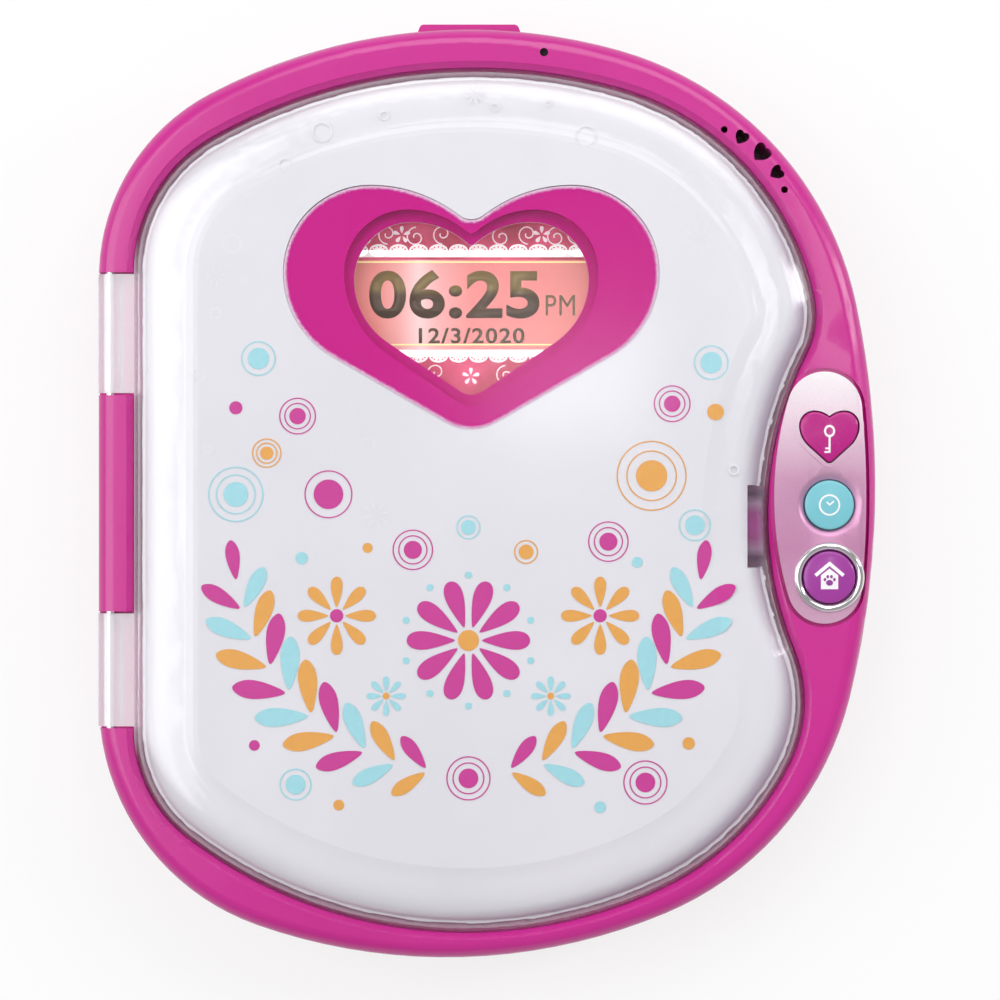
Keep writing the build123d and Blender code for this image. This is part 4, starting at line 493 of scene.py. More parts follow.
magentaAbs = polishedAbs("magenta_polished_abs", "#C8268F", "#C22088")
magentaSatin = satinAbs("magenta_satin_abs", "#C22F88", "#B9287F")
whiteSatin = satinAbs("white_satin_abs", "#EDECEF", "#E4E3E8")
clearShell = clearAcrylic("clear_acrylic_shell", "#FBFBFD", 0.1)
clearWindow = polishedWindow("hard_coated_clear_window")
pearlWhite = pearlAbs("pearl_white_abs")
steel = brushedSteel("bright_steel")
pinSteel = chromePlate("ground_bright_steel", "#F1F1F2")
greyAcetal = satinAbs("grey_acetal", "#C9C9CC", "#BEBEC2")
blackEpoxy = satinAbs("black_epoxy", "#1B1B1D", "#151517")
darkRubber = softSilicone("dark_rubber", "#2A2A2C", "#222224")
redWire = pvcWire("red_pvc_wire", "#B32226")
board = circuitBoard("green_circuit_board")

nodeMaterials = {
    "rear_case": magentaAbs, "front_frame": magentaAbs, "battery_door": magentaAbs,
    "deck_plate": magentaSatin, "screen_cover": clearWindow, "lcd_glass": litDisplay("lit_display", display),
    "lcd_tray": whiteSatin, "keypad_mat": softSilicone("pale_silicone", "#F3D7E6", "#EBC9DC"),
    "keyboard_board": board, "main_board": board, "side_button_board": board,
    "nav_domes": steel, "control_panel": metallicPaint("silver_pink_metallic_paint"),
    "chrome_ring": chromePlate("bright_chrome"),
    "side_button_pad": softSilicone("grey_silicone", "#B9B9BC", "#ADADB0"),
    "lid_outer_shell": clearShell, "heart_lens": clearWindow, "lid_inner_shell": pearlWhite,
    "lid_liner": whiteSatin, "lid_screws": steel, "heart_bezel": sprayedPlastic("sprayed_magenta"),
    "lid_catch": smokedCatch("smoked_violet_plastic"), "latch_housing": greyAcetal, "latch_bolt": greyAcetal,
    "latch_spring": steel, "solenoid_plunger": steel, "solenoid_frame": steel,
    "solenoid_coil": brushedSteel("enamelled_copper", "#B5653A"),
    "speaker_frame": brushedSteel("pressed_steel", "#8C8D90"), "speaker_cone": blackEpoxy,
    "speaker_ring": darkRubber, "mic_boot": darkRubber, "microphone": blackEpoxy,
    "speaker_wires": redWire, "battery_wires": redWire, "latch_wires": redWire, "button_wires": redWire,
    "mic_wires": redWire, "battery_contacts": steel, "battery_springs": steel, "battery_door_screw": steel,
    "main_chips": blackEpoxy, "keyboard_ribbon": pvcWire("grey_flat_cable", "#B9BABD"),
    "board_screws": steel, "case_screws": steel,
    "rubber_feet": softSilicone("magenta_rubber", "#7A1B56", "#6F174E"),
    "key_button": polishedAbs("magenta_key_abs", "#B90E82", "#B20A7B"),
    "clock_button": polishedAbs("teal_key_abs", "#7CC6D2", "#74BFCC"),
    "home_button": polishedAbs("purple_key_abs", "#A0389C", "#983496"),
    "hinge_pin_upper": pinSteel, "hinge_pin_lower": pinSteel,
}
navigationKeys = ("up_key", "down_key", "left_key", "right_key", "ok_key")
for name in navigationKeys:
    nodeMaterials[name] = nodeMaterials["clock_button"]
for number in ("1", "2", "3", "4"):
    nodeMaterials["battery_" + number] = cellSleeve("dry_cell_sleeve_" + number)

for name, material in nodeMaterials.items():
    for slot in nodes[name].material_slots:
        slot.material = material
print("materials on", len(nodeMaterials), "nodes")

# heart window: the clear lens just above the sprayed surround, and the overspray along its edge

heartWindow = {"gap": 0.05, "grow": 0.13, "footDepth": 0.1, "hazeWidth": 0.9, "hazeFilm": 0.015}
mergeGap = 0.002 * mm


def mergedCopy(node, name):
    # the node's shape as a piece of its own, its loose triangles merged
    piece = bpy.data.objects.new(name, nodes[node].data.copy())
    bpy.context.scene.collection.objects.link(piece)
    piece.data.name = name
    editAll(piece)
    bpy.ops.mesh.remove_doubles(threshold=mergeGap)
    endEdit()
    return piece


def smoothShading(piece, degrees=32):
    # rounded edges shade smoothly while flat faces stay flat
    activate(piece)
    if piece.data.has_custom_normals:
        bpy.ops.mesh.customdata_custom_splitnormals_clear()
    bpy.ops.object.shade_smooth_by_angle(angle=math.radians(degrees))
    applyModifier(piece, "WEIGHTED_NORMAL", keep_sharp=True)


def keepFaces(piece, wanted):
    # deletes the faces that the test doesn't want
    activate(piece)
    bpy.ops.object.mode_set(mode="EDIT")
    bpy.ops.mesh.select_mode(type="FACE")
    bpy.ops.mesh.select_all(action="DESELECT")
    endEdit()
    for polygon in piece.data.polygons:
        polygon.select = not wanted(polygon)
    bpy.ops.object.mode_set(mode="EDIT")
    bpy.ops.mesh.delete(type="FACE")
    endEdit()


groups = frame["record"]["behaviour"]["bodies"]
bodyOf = {node: body for body, members in groups.items() for node in members}
smoothed = ("front_frame", "rear_case", "battery_door", "deck_plate", "control_panel", "keypad_mat",
            "key_button", "clock_button", "home_button", "heart_bezel", *navigationKeys)
for node in smoothed:
    copy = mergedCopy(node, node + "_moulding")
    smoothShading(copy)
    finishPiece(copy, bodyOf[node], nodeMaterials[node])
    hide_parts(node)
print("mouldings smoothed:", len(smoothed))

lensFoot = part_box("heart_lens")[0].z
haze = mergedCopy("heart_lens", "heart_overspray")
footLevel = lensFoot + heartWindow["footDepth"] * mm
keepFaces(haze, lambda polygon: polygon.normal.z < -0.99 and polygon.center.z < footLevel)
editAll(haze)
bpy.ops.mesh.dissolve_limited(angle_limit=math.radians(1))
endEdit()
outlineCount = len(haze.data.vertices)
editAll(haze)
bpy.ops.mesh.inset(thickness=heartWindow["hazeWidth"] * mm, use_even_offset=True)
bpy.ops.mesh.delete(type="FACE")
bpy.ops.mesh.select_all(action="SELECT")
bpy.ops.mesh.flip_normals()
endEdit()
thinning = haze.data.attributes.new("haze", "FLOAT", "POINT")
for index, value in enumerate(thinning.data):
    value.value = 1.0 if index < outlineCount else 0.0
printFilm("heart_overspray", [haze], printLift, heartWindow["hazeFilm"], "lid",
          sprayHaze("magenta_overspray"))

lens = mergedCopy("heart_lens", "heart_clear_lens")
editAll(lens)
bpy.ops.transform.shrink_fatten(value=heartWindow["grow"] * mm)
endEdit()
for vertex in lens.data.vertices:
    if vertex.co.z < footLevel:
        vertex.co.z = lensFoot + heartWindow["gap"] * mm
smoothShading(lens)
finishPiece(lens, "lid", clearWindow)
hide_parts("heart_lens")
print("heart window:", outlineCount, "points round it")

# printed decoration on the lid: a garland, daisies, dots and rings

lidPrint = {
    "height": 34.84, "film": 0.03, "step": 0.012,
    "magenta": "#C8188F", "orange": "#E8A33F", "cyan": "#9FDBE3",
    # daisies: x, y, petal length, petals, petal colour, heart colour
    "daisies": ((-4.5, -36.5, 15.0, 10, "magenta", "orange"), (-36.5, -30.5, 9.5, 8, "orange", "magenta"),
                (27.5, -30.5, 9.5, 8, "orange", "magenta"), (-24.5, -50.0, 4.8, 8, "cyan", "orange"),
                (15.5, -50.0, 4.8, 8, "cyan", "orange")),
    # a daisy's parts as shares of its petal length, and the dots' radius; only big daisies have dots
    "daisy": {"foot": 0.22, "petal": 0.78, "heart": 0.17, "dotsAt": 1.06, "dot": 0.85, "dotsFrom": 10},
    # the garland: two boughs along an oval, from under the big daisy out to both sides and up
    "oval": {"x": -4.5, "y": -14.0, "halfWidth": 57.0, "halfHeight": 55.0, "from": 80.0, "to": 8.0},
    "bough": {"pairs": 9, "leaf": 12.0, "short": 0.8, "swell": 0.28, "spread": 43.0, "gap": 0.9},
    # rings round a dot: the first and each next one as shares of its radius
    "ring": {"first": 1.62, "next": 0.62, "line": 0.3, "points": 64},
    # lone dots and ringed dots: x, y, dot radius, rings, colour
    "dots": (
        (-61.0, 20.0, 1.6, 0, "magenta"), (-55.5, 32.0, 2.6, 1, "cyan"), (-46.0, 18.0, 2.0, 2, "magenta"),
        (-61.0, -1.0, 3.0, 2, "cyan"), (-38.5, -1.0, 3.6, 1, "magenta"), (-53.5, 9.0, 1.6, 2, "orange"),
        (54.5, 31.0, 2.6, 1, "cyan"), (55.5, 19.0, 2.0, 0, "orange"), (45.0, 21.0, 2.0, 2, "magenta"),
        (40.0, 3.5, 3.8, 2, "orange"), (50.5, -8.5, 2.4, 1, "cyan"), (29.5, -12.5, 2.2, 2, "magenta"),
        (-18.0, -14.5, 2.2, 2, "magenta"), (9.5, -15.0, 1.8, 1, "orange"), (-4.5, -9.0, 1.8, 1, "cyan"),
        (-45.0, -16.5, 1.5, 0, "cyan"), (36.5, -17.5, 1.3, 0, "cyan"), (-29.0, -14.0, 1.2, 0, "orange"),
        (-4.5, -70.0, 2.4, 2, "magenta"), (-46.5, -71.5, 2.4, 1, "cyan"), (38.5, -71.0, 2.4, 2, "magenta"),
        (-56.5, -62.0, 1.3, 0, "magenta"), (49.0, -61.5, 1.5, 0, "orange"), (-36.0, -76.5, 1.3, 0, "orange"),
        (27.5, -77.0, 1.4, 0, "cyan")),
}


def bladePoints(halfWidth, foot, growth, pointed, count=28):
    # a leaf or petal from (0, 0) to (1, 0): how wide, how full at its foot and beyond, how pointed
    points = []
    for step in range(count):
        turn = 2 * math.pi * step / count
        along = (1 - math.cos(turn)) / 2
        side = math.sin(turn) * halfWidth * (foot + growth * along) * (1 - pointed * along ** 6)
        points.append((along, side))
    return points


def circlePoints(count=40):
    turns = [2 * math.pi * step / count for step in range(count)]
    return [(math.cos(turn), math.sin(turn)) for turn in turns]


leafMaster = flatOutline("leafMaster", bladePoints(0.17, 0.55, 0.9, 0.35))
petalMaster = flatOutline("petalMaster", bladePoints(0.19, 0.35, 1.1, 0))
dotMaster = flatOutline("dotMaster", circlePoints())
inkNames = ("magenta", "orange", "cyan")
printed = {ink: [] for ink in inkNames}


def around(x, y, radius, turn):
    return x + radius * math.cos(turn), y + radius * math.sin(turn)


daisy, oval, bough = lidPrint["daisy"], lidPrint["oval"], lidPrint["bough"]
for x, y, reach, count, petalInk, heartInk in lidPrint["daisies"]:
    for step in range(count):
        turn = 2 * math.pi * step / count
        foot = around(x, y, daisy["foot"] * reach, turn)
        petal = placed(*foot, turn, daisy["petal"] * reach)
        printed[petalInk].append(stampCopy(petalMaster, petal))
        if reach > daisy["dotsFrom"]:
            spot = around(x, y, daisy["dotsAt"] * reach, turn + math.pi / count)
            printed["cyan"].append(stampCopy(dotMaster, placed(*spot, sizeX=daisy["dot"])))
    printed[heartInk].append(stampCopy(dotMaster, placed(x, y, sizeX=daisy["heart"] * reach)))


def onOval(degrees, side):
    turn = math.radians(degrees)
    across, up = side * oval["halfWidth"] * math.cos(turn), oval["halfHeight"] * math.sin(turn)
    return Vector((oval["x"] + across, oval["y"] - up))


for side in (1, -1):
    for step in range(bough["pairs"] + 1):
        share = step / bough["pairs"]
        degrees = oval["from"] + (oval["to"] - oval["from"]) * share
        foot = onOval(degrees, side)
        along = onOval(degrees - 1, side) - onOval(degrees + 1, side)
        heading = math.atan2(along.y, along.x)
        length = bough["leaf"] * (bough["short"] + bough["swell"] * math.sin(math.pi * share))
        if step == bough["pairs"]:
            printed["magenta"].append(stampCopy(leafMaster, placed(*foot, heading, length)))
            continue
        for way in (1, -1):
            ink = inkNames[(step + (way * side < 0)) % 3]
            turn = heading + way * math.radians(bough["spread"])
            start = around(*foot, bough["gap"], turn)
            printed[ink].append(stampCopy(leafMaster, placed(*start, turn, length)))

ringMasters, spacing = [], lidPrint["ring"]
for x, y, radius, rings, ink in lidPrint["dots"]:
    printed[ink].append(stampCopy(dotMaster, placed(x, y, sizeX=radius)))
    for step in range(rings):
        outer = radius * (spacing["first"] + spacing["next"] * step)
        ring = flatRing("ringMaster", outer, outer - spacing["line"], spacing["points"])
        ringMasters.append(ring)
        printed[ink].append(stampCopy(ring, placed(x, y)))

removeMasters(ringMasters)
for level, ink in enumerate(inkNames):
    height = lidPrint["height"] + level * lidPrint["step"]
    printFilm("lidPrint_" + ink, printed[ink], height, lidPrint["film"], "lid",
              screenPrint("printing_ink_" + ink, lidPrint[ink]))
print("lid print:", sum(len(shapes) for shapes in printed.values()), "shapes")

# faint relief moulded into the white shell: rings and eight-ray bursts round the heart, a shade paler than
# the shell as a painted highlight on the ridges

relief = {
    "height": 34.77, "film": 0.063, "line": 0.35,
    "rings": ((-62, 60, 2.4), (-58, 72, 1.1), (-49, 79, 1.7), (-40, 87, 2.5), (-25, 91, 1.2), (-14, 84, 1.6),
              (2, 93, 1.1), (24, 86, 2.6), (35, 79, 1.3), (46, 72, 1.9), (55, 49, 1.2), (61, 41, 2.4),
              (-66, 43, 1.4), (-59, 51, 0.9), (-29, 11, 1.8), (-17, 5, 1.1), (8, 1.5, 1.5), (21, 9, 2.2),
              (31, 14, 1.0), (-70, 28, 1.7), (60, 5, 1.3), (15, 94, 0.8), (-33, 20, 0.8), (-68, 10, 1.2)),
    "bursts": ((11.7, 81, 4.2), (51.5, 61, 4.2), (-27, -6, 3.4), (-66, 52, 2.6), (-3, 96, 2.4)),
    "ray": {"count": 8, "tilt": 12, "foot": 0.3, "length": 0.7, "width": 0.5},
}
ridges, ray = [], relief["ray"]
for x, y, radius in relief["rings"]:
    ring = flatRing("ridgeRing", radius, radius - relief["line"], 40)
    ridges.append(stampCopy(ring, placed(x, y)))
    bpy.data.objects.remove(ring)
for x, y, reach in relief["bursts"]:
    for step in range(ray["count"]):
        turn = math.radians(360 * step / ray["count"] + ray["tilt"])
        foot = around(x, y, ray["foot"] * reach, turn)
        burst = placed(*foot, turn, ray["length"] * reach, ray["width"] * reach)
        ridges.append(stampCopy(petalMaster, burst))
# the ridges' paler white is a painted highlight, not a colour of their own
printFilm("lidRelief", ridges, relief["height"], relief["film"], "lid",
          satinAbs("pearl_white_ridge_painted_highlight", "#ECEAEE", "#E7E5EA", 0.7))
print("relief:", len(ridges), "marks")

# picture on the display: lace edges, lines, scrolls, digits

screenArt = {
    "height": 22.97, "film": 0.03, "left": -34.0, "right": 26.5,
    "laceTop": 57.3, "laceBottom": 34.6, "laceWidth": 1.7, "scallop": 4.9, "scallopRise": 1.5,
    "lineWidth": 0.35, "lineGap": 1.2, "lowLift": 0.01, "holeLift": 0.05,
    "scallopHalf": 2.303, "holes": 5, "hole": 0.21, "holeAcross": 0.72, "holeUp": 0.55,
    "tendril": {"size": 2.5, "points": 30, "halfTurns": 2.6, "shrink": 0.82, "thick": 0.16, "flat": 0.12,
                "offset": 0.4},
    "tendrilRows": ((62.6, (-30.0, -24.5, -17.5, -11.0, 3.5, 10.0, 17.0, 22.0)),
                    (28.6, (-19.0, -12.5, 4.5, 11.0))),
    "blossom": {"petals": 5, "tilt": 0.3, "foot": 0.45, "length": 1.7, "width": 2.4},
    "blossoms": ((-21.0, 62.8), (13.4, 62.8), (-4.0, 28.0)),
    # what each line says, and the box it fills: left, right, foot, top
    "clock": {"text": "06:25", "weight": 0.03, "space": 1.06, "box": (-29.0, 12.9, 42.2, 54.2)},
    "half": {"text": "PM", "weight": 0.0, "space": 1.1, "box": (14.4, 21.6, 43.0, 48.0)},
    "date": {"text": "12/3/2020", "weight": 0.02, "space": 1.12, "box": (-16.8, 9.2, 36.1, 39.9)},
}


def screenText(settings):
    # letters at size 1, then stretched to the box they fill on the screen
    piece = textMesh(
        settings["text"], offset=settings["weight"], space_character=settings["space"], resolution_u=6)
    low = [min(vertex.co[axis] for vertex in piece.data.vertices) for axis in (0, 1)]
    high = [max(vertex.co[axis] for vertex in piece.data.vertices) for axis in (0, 1)]
    left, right, foot, top = settings["box"]
    stretchX, stretchY = (right - left) / (high[0] - low[0]), (top - foot) / (high[1] - low[1])
    grow = Matrix.Diagonal((stretchX, stretchY, 1, 1))
    move = Matrix.Translation((left - low[0] * stretchX, foot - low[1] * stretchY, 0))
    piece.data.transform(Matrix.Scale(mm, 4) @ move @ grow)
    return piece


digitInk = litInk("display_olive_ink", "#84703C", "#46300E", 43.4, 54.0, 0.12)
smallInk = litInk("display_brown_ink", "#6B5529", "#4F3F1C", 36.0, 48.0, 0.12)
for name, ink in (("clock", digitInk), ("half", smallInk), ("date", smallInk)):
    words = screenText(screenArt[name])
    printFilm("display_" + name, [words], screenArt["height"] + printLift, screenArt["film"], "case", ink)

squareMaster = flatOutline("squareMaster", ((-0.5, -0.5), (0.5, -0.5), (0.5, 0.5), (-0.5, 0.5)))
laceParts, lineParts, holeParts = [], [], []
width = screenArt["right"] - screenArt["left"]
middleX = (screenArt["right"] + screenArt["left"]) / 2
half, rise = screenArt["scallopHalf"], screenArt["scallopRise"]
across, up = half * screenArt["holeAcross"], rise * screenArt["holeUp"]
for edgeY, outward in ((screenArt["laceTop"], 1), (screenArt["laceBottom"], -1)):
    stripY = edgeY + outward * screenArt["laceWidth"] / 2
    strip = placed(middleX, stripY, sizeX=width, sizeY=screenArt["laceWidth"])
    laceParts.append(stampCopy(squareMaster, strip))
    line = placed(middleX, edgeY - outward * screenArt["lineGap"], sizeX=width, sizeY=screenArt["lineWidth"])
    lineParts.append(stampCopy(squareMaster, line))
    for step in range(int(width / screenArt["scallop"]) + 1):
        x = screenArt["left"] + (step + 0.5) * screenArt["scallop"]
        y = edgeY + outward * screenArt["laceWidth"]
        laceParts.append(stampCopy(dotMaster, placed(x, y, sizeX=half, sizeY=rise)))
        for hole in range(screenArt["holes"]):
            turn = math.pi * (hole + 0.5) / screenArt["holes"]
            spot = (x + across * math.cos(turn), y + outward * up * math.sin(turn))
            holeParts.append(stampCopy(dotMaster, placed(*spot, sizeX=screenArt["hole"])))
for name, parts, lift, ink in (
        ("display_lace", laceParts, screenArt["lowLift"], litInk("display_white_ink", "#FFFDFB")),
        ("display_lines", lineParts, screenArt["lowLift"], litInk("display_yellow_ink", "#FFF3A6")),
        ("display_lace_holes", holeParts, screenArt["holeLift"], litInk("display_crimson_ink", "#C0305A"))):
    printFilm(name, parts, screenArt["height"] + lift, screenArt["film"], "case", ink)


def scrollCurve(x, y, mirror, settings):
    # a tendril that rolls up: points on a shrinking spiral, flattened
    deselectAll()
    bpy.ops.curve.primitive_bezier_curve_add()
    curve = bpy.context.object
    line = curve.data
    line.splines.clear()
    spline = line.splines.new("POLY")
    spline.points.add(settings["points"] - 1)
    for step, point in enumerate(spline.points):
        share = step / (settings["points"] - 1)
        radius = settings["size"] * (1 - settings["shrink"] * share)
        turn = mirror * (0.5 + settings["halfTurns"] * share) * math.pi
        point.co = (*around(x, y, radius, turn), 0, 1)
    line.dimensions = "3D"
    line.bevel_depth = settings["thick"]
    line.bevel_resolution = 1
    activate(curve)
    bpy.ops.object.convert(target="MESH")
    piece = bpy.context.object
    piece.data.transform(Matrix.Scale(mm, 4) @ Matrix.Diagonal((1, 1, settings["flat"], 1)))
    return piece


scrollParts, tendril, blossom = [], screenArt["tendril"], screenArt["blossom"]
for rowY, row in screenArt["tendrilRows"]:
    for step, x in enumerate(row):
        mirror = -1 if step % 2 else 1  # they roll up and down in turn
        scrollParts.append(scrollCurve(x, rowY - tendril["offset"] * mirror, mirror, tendril))
for x, y in screenArt["blossoms"]:
    for step in range(blossom["petals"]):
        turn = 2 * math.pi * step / blossom["petals"] + blossom["tilt"]
        foot = around(x, y, blossom["foot"], turn)
        scrollParts.append(stampCopy(petalMaster, placed(*foot, turn, blossom["length"], blossom["width"])))
scrolls = joinPieces("display_scrolls", scrollParts)
scrolls.data.transform(Matrix.Translation((0, 0, (screenArt["height"] + printLift) * mm)))
finishPiece(scrolls, "case", litInk("display_pale_ink", "#FFE9F0"))
print("display drawn")

# symbols on the side buttons

symbols = {
    "film": 0.06, "crown": 50.0, "x": 83.4, "pawLift": 0.05,
    "key": {"y": 13.0, "bow": (1.5, 0.95), "body": "key_button", "slot": "key_pink"},
    "clock": {"y": -3.6, "radius": 2.6, "stroke": 0.42, "body": "clock_button", "slot": "key_teal"},
    "house": {"y": -21.2, "body": "home_button", "slot": "key_purple"},
}
whiteInk = screenPrint("white_printing_ink", "#F4F0F4")
purpleInk = screenPrint("purple_printing_ink", "#8E3592")


def symbolPiece(name, key, ink, parts, extra=0.0):
    # printed on a button: the film follows the button's crown. A part is a flat master, its place
    # from the button's middle, its size and its turn in degrees
    place, middleX, middleY = symbols[key], symbols["x"], symbols[key]["y"]
    piece = joinPieces(name, [
        stampCopy(master, placed(middleX + x, middleY + y, math.radians(turn), sizeX, sizeY))
        for master, x, y, sizeX, sizeY, turn in parts])
    editAll(piece)
    bpy.ops.mesh.quads_convert_to_tris()
    bpy.ops.mesh.subdivide(number_cuts=3)
    endEdit()
    node = place["body"]  # node and body share it
    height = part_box(node)[1].z / mm + printLift + extra
    for vertex in piece.data.vertices:
        away = math.hypot(vertex.co.x / mm - middleX, vertex.co.y / mm - middleY)
        vertex.co.z = (height - away ** 2 / (2 * symbols["crown"])) * mm
    applyModifier(piece, "SOLIDIFY", thickness=symbols["film"] * mm, offset=-1)
    finishPiece(piece, node, ink)


bow = flatRing("bowMaster", *symbols["key"]["bow"], 32)
symbolPiece("key_symbol", "key", whiteInk, (
    (bow, 0, 1.4, 0.9, 1.0, 0), (squareMaster, 0, -1.8, 0.5, 4.2, 0),
    (squareMaster, -0.7, -3.7, 1.1, 0.45, 0), (squareMaster, -0.6, -2.8, 0.9, 0.45, 0)))
clock = symbols["clock"]
clockRing = flatRing("clockMaster", clock["radius"], clock["radius"] - clock["stroke"], 48)
symbolPiece("clock_symbol", "clock", whiteInk, (
    (clockRing, 0, 0, 1, 1, 0), (squareMaster, 0.5, 0.45, 1.5, 0.36, 40),
    (squareMaster, -0.35, 0.4, 1.0, 0.36, -45)))
house = flatOutline("houseMaster", ((-2.1, -2.9), (2.1, -2.9), (2.1, 0.5), (0, 2.1), (-2.1, 0.5)))
symbolPiece("house_symbol", "house", whiteInk, (
    (house, 0, 0, 1, 1, 0), (squareMaster, 1.62, 1.95, 4.7, 0.85, -40),
    (squareMaster, -1.62, 1.95, 4.7, 0.85, 40)))
symbolPiece("paw_symbol", "house", purpleInk, (
    (dotMaster, 0, -1.35, 0.85, 0.7, 0), (dotMaster, -1.15, -0.55, 0.33, 0.42, 0),
    (dotMaster, -0.45, 0.15, 0.33, 0.42, 0), (dotMaster, 0.45, 0.15, 0.33, 0.42, 0),
    (dotMaster, 1.15, -0.55, 0.33, 0.42, 0)), symbols["pawLift"])
removeMasters([bow, clockRing, house])
print("button symbols printed")

# chrome bead round the house button

ringLow, ringHigh = [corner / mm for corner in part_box("chrome_ring")]
ringX, ringY = (ringLow.x + ringHigh.x) / 2, (ringLow.y + ringHigh.y) / 2
ringOuter = (ringHigh.x - ringLow.x) / 2
ringPoints = [vertex.co / mm for vertex in nodes["chrome_ring"].data.vertices]
ringInner = min(math.hypot(point.x - ringX, point.y - ringY) for point in ringPoints)
bead = {"half": (ringOuter - ringInner) / 2, "height": 1.0, "foot": ringLow.z}
bead["seat"] = ringHigh.z - bead["height"]
deselectAll()
bpy.ops.mesh.primitive_torus_add(
    major_segments=96, minor_segments=24, major_radius=ringInner + bead["half"], minor_radius=bead["half"])
ring = bpy.context.object
ring.name = "chrome_bead"
editAll(ring)
bpy.ops.transform.resize(value=(1, 1, bead["height"] / bead["half"]))
bpy.ops.mesh.bisect(plane_co=(0, 0, 0), plane_no=(0, 0, 1), clear_inner=True)
bpy.ops.mesh.select_all(action="SELECT")
bpy.ops.mesh.region_to_loop()
bpy.ops.mesh.extrude_edges_move(TRANSFORM_OT_translate={"value": (0, 0, bead["foot"] - bead["seat"])})
bpy.ops.mesh.select_all(action="SELECT")
bpy.ops.mesh.normals_make_consistent(inside=False)
endEdit()
ring.data.transform(Matrix.Scale(mm, 4) @ Matrix.Translation((ringX, ringY, bead["seat"])))
smoothShading(ring, 60)
finishPiece(ring, "case", nodeMaterials["chrome_ring"])
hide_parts("chrome_ring")
print("chrome bead:", round(ringInner, 2), "to", round(ringOuter, 2), "mm")

# under the lid: arrows on the navigation keys, signs on the soft keys

keyboard = {
    "middleX": -3.8, "pitch": 13.0, "top": 27.0, "film": 0.05, "size": 4.6,
    "rows": (("1234567890", 7.2), ("QWERTYUIOP", -6.4), ("ASDFGHJKL", -20.0), ("ZXCVBNM", -33.6)),
    "arrows": {"up_key": (0, 1), "down_key": (0, -1), "left_key": (-1, 0), "right_key": (1, 0)},
    "crossY": -76.3, "crossPitch": 11.0, "arrow": 2.0, "signDrop": 0.34, "okRing": (1.9, 1.35),
}
signs = []
signHeight = keyboard["top"] + printLift
for row, rowY in keyboard["rows"]:
    for column, sign in enumerate(row):
        letter = textMesh(sign, size=keyboard["size"], align_x="CENTER", resolution_u=3)
        x = keyboard["middleX"] + (column - (len(row) - 1) / 2) * keyboard["pitch"]
        letter.data.transform(Matrix.Scale(mm, 4) @ placed(x, rowY - keyboard["signDrop"] * keyboard["size"]))
        signs.append(letter)
printFilm("keyboard_signs", signs, signHeight, keyboard["film"], "case",
          screenPrint("magenta_key_ink", "#B5207F"))

arrowMaster = flatOutline("arrowMaster", ((1.0, 0.0), (-0.6, 0.95), (-0.25, 0.0), (-0.6, -0.95)))
for node, (stepX, stepY) in keyboard["arrows"].items():
    x = keyboard["middleX"] + stepX * keyboard["crossPitch"]
    y = keyboard["crossY"] + stepY * keyboard["crossPitch"]
    arrow = stampCopy(arrowMaster, placed(x, y, math.atan2(stepY, stepX), keyboard["arrow"]))
    printFilm(node.replace("key", "arrow"), [arrow], signHeight, keyboard["film"], node, whiteInk)
okRing = flatRing("ok_ring", *keyboard["okRing"], 40)
okRing.data.transform(Matrix.Scale(mm, 4) @ placed(keyboard["middleX"], keyboard["crossY"]))
printFilm("ok_ring", [okRing], signHeight, keyboard["film"], "ok_key", whiteInk)
removeMasters([leafMaster, petalMaster, dotMaster, squareMaster, arrowMaster])
print("keys marked:", len(signs), "signs,", len(keyboard["arrows"]), "arrows")

# studio: pale floor, soft lights, camera straight above

studio = {
    "floorSize": 6.0, "floorHeight": -0.0004, "floorGlow": 0.78, "worldStrength": 0.38,
    # the camera, straight above the middle of the photograph
    "lens": 150.0, "sensor": 36.0, "clipEnd": 20.0, "viewWidth": 0.2442, "viewPlane": 0.030,
    "centre": (0.0031746, -0.0023873),
    # the lamps: place, the point each one faces, width, height, power
    "lamps": {
        "left_soft_box": ((-0.72, 0.12, 0.95), (0, 0, 0.03), 0.75, 1.25, 7.2),
        "top_soft_box": ((0.16, 0.74, 0.95), (0, 0, 0.03), 0.95, 0.7, 5.4),
        "side_strip": ((0.75, 0.25, 0.55), (0, 0, 0.03), 0.12, 0.7, 2.2),
        "wide_card": ((0.033, 0.054, 0.94), (0.033, 0.054, 0), 0.078, 0.048, 0.03),
        "right_card": ((0.050, 0.056, 0.94), (0.050, 0.056, 0), 0.044, 0.044, 0.03),
        "rim_card": ((0.165, 0.100, 0.94), (0.165, 0.100, 0), 0.03, 0.12, 0.12),
    },
}

deselectAll()
bpy.ops.mesh.primitive_plane_add(size=studio["floorSize"])
floor = bpy.context.object
floor.name = "floor"
floor.data.transform(Matrix.Translation((0, 0, studio["floorHeight"])))
paper, tree, shader = newMaterial("white_paper_floor", {"Base Color": linear("#F2F2F2"), "Roughness": 0.9})
rays = addNode(tree, "ShaderNodeLightPath")
seen = addNode(tree, "ShaderNodeMath", {"operation": "MAXIMUM"}, {
    0: rays.outputs["Is Camera Ray"], 1: rays.outputs["Is Glossy Ray"]})
seenToo = addNode(tree, "ShaderNodeMath", {"operation": "MAXIMUM"}, {
    0: seen.outputs[0], 1: rays.outputs["Is Transmission Ray"]})
share = addNode(tree, "ShaderNodeMath", {"operation": "MULTIPLY", 1: studio["floorGlow"]},
                {0: seenToo.outputs[0]})
white = addNode(tree, "ShaderNodeEmission", {"Color": (1, 1, 1, 1), "Strength": 1.0})
mix = addNode(tree, "ShaderNodeMixShader", {}, {
    0: share.outputs[0], 1: shader.outputs["BSDF"], 2: white.outputs["Emission"]})
side = addNode(tree, "ShaderNodeNewGeometry")
below = addNode(tree, "ShaderNodeBsdfTransparent")
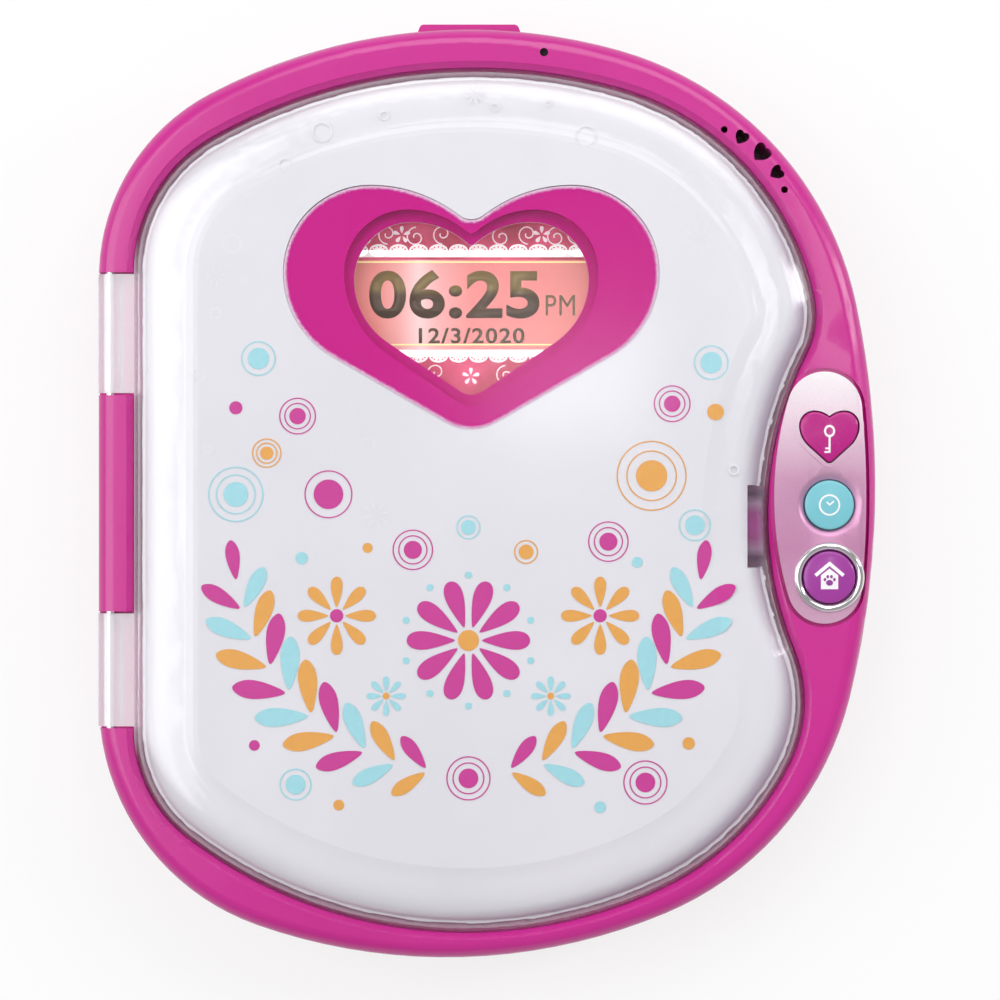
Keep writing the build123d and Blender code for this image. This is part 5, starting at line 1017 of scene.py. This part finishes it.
oneSided = addNode(tree, "ShaderNodeMixShader", {}, {
    0: side.outputs["Backfacing"], 1: mix.outputs["Shader"], 2: below.outputs["BSDF"]})
tree.links.new(oneSided.outputs["Shader"], tree.nodes["Material Output"].inputs["Surface"])
floor.data.materials.append(paper)

world = bpy.data.worlds.new("studio_world")
bpy.context.scene.world = world
world.use_nodes = True
tree = world.node_tree
background = tree.nodes["Background"]
background.inputs["Color"].default_value = (1, 1, 1, 1)
rays = addNode(tree, "ShaderNodeLightPath")
sky = addNode(tree, "ShaderNodeTexCoord")
direction = addNode(tree, "ShaderNodeSeparateXYZ", {}, {0: sky.outputs["Generated"]})
low = addNode(tree, "ShaderNodeMapRange", {"From Min": 0.12, "From Max": 0.4, "To Min": 1.0, "To Max": 0.0},
              {"Value": direction.outputs["Z"]})
mirrored = addNode(tree, "ShaderNodeMath", {"operation": "MAXIMUM"}, {
    0: rays.outputs["Is Glossy Ray"], 1: rays.outputs["Is Transmission Ray"]})
whiteLow = addNode(tree, "ShaderNodeMath", {"operation": "MULTIPLY"}, {
    0: mirrored.outputs[0], 1: low.outputs["Result"]})
whiteShare = addNode(tree, "ShaderNodeMath", {"operation": "MAXIMUM"}, {
    0: rays.outputs["Is Camera Ray"], 1: whiteLow.outputs[0]})
strength = addNode(tree, "ShaderNodeMapRange", {"To Min": studio["worldStrength"], "To Max": 1.0},
                   {"Value": whiteShare.outputs[0]})
tree.links.new(strength.outputs["Result"], background.inputs["Strength"])

for name, (place, target, width, height, power) in studio["lamps"].items():
    deselectAll()
    bpy.ops.object.light_add(type="AREA", location=place)
    lamp = bpy.context.object
    lamp.name = name
    lamp.data.shape = "RECTANGLE"
    lamp.data.size = width
    lamp.data.size_y = height
    lamp.data.energy = power
    lamp.rotation_euler = (Vector(target) - Vector(place)).to_track_quat("-Z", "Y").to_euler()

distance = studio["viewWidth"] * studio["lens"] / studio["sensor"]
deselectAll()
bpy.ops.object.camera_add(location=(*studio["centre"], studio["viewPlane"] + distance), rotation=(0, 0, 0))
camera = bpy.context.object
camera.name = "camera"
camera.data.lens = studio["lens"]
camera.data.sensor_width = studio["sensor"]
camera.data.clip_end = studio["clipEnd"]
bpy.context.scene.camera = camera
bpy.context.scene.view_settings.view_transform = "Standard"
print("studio set")
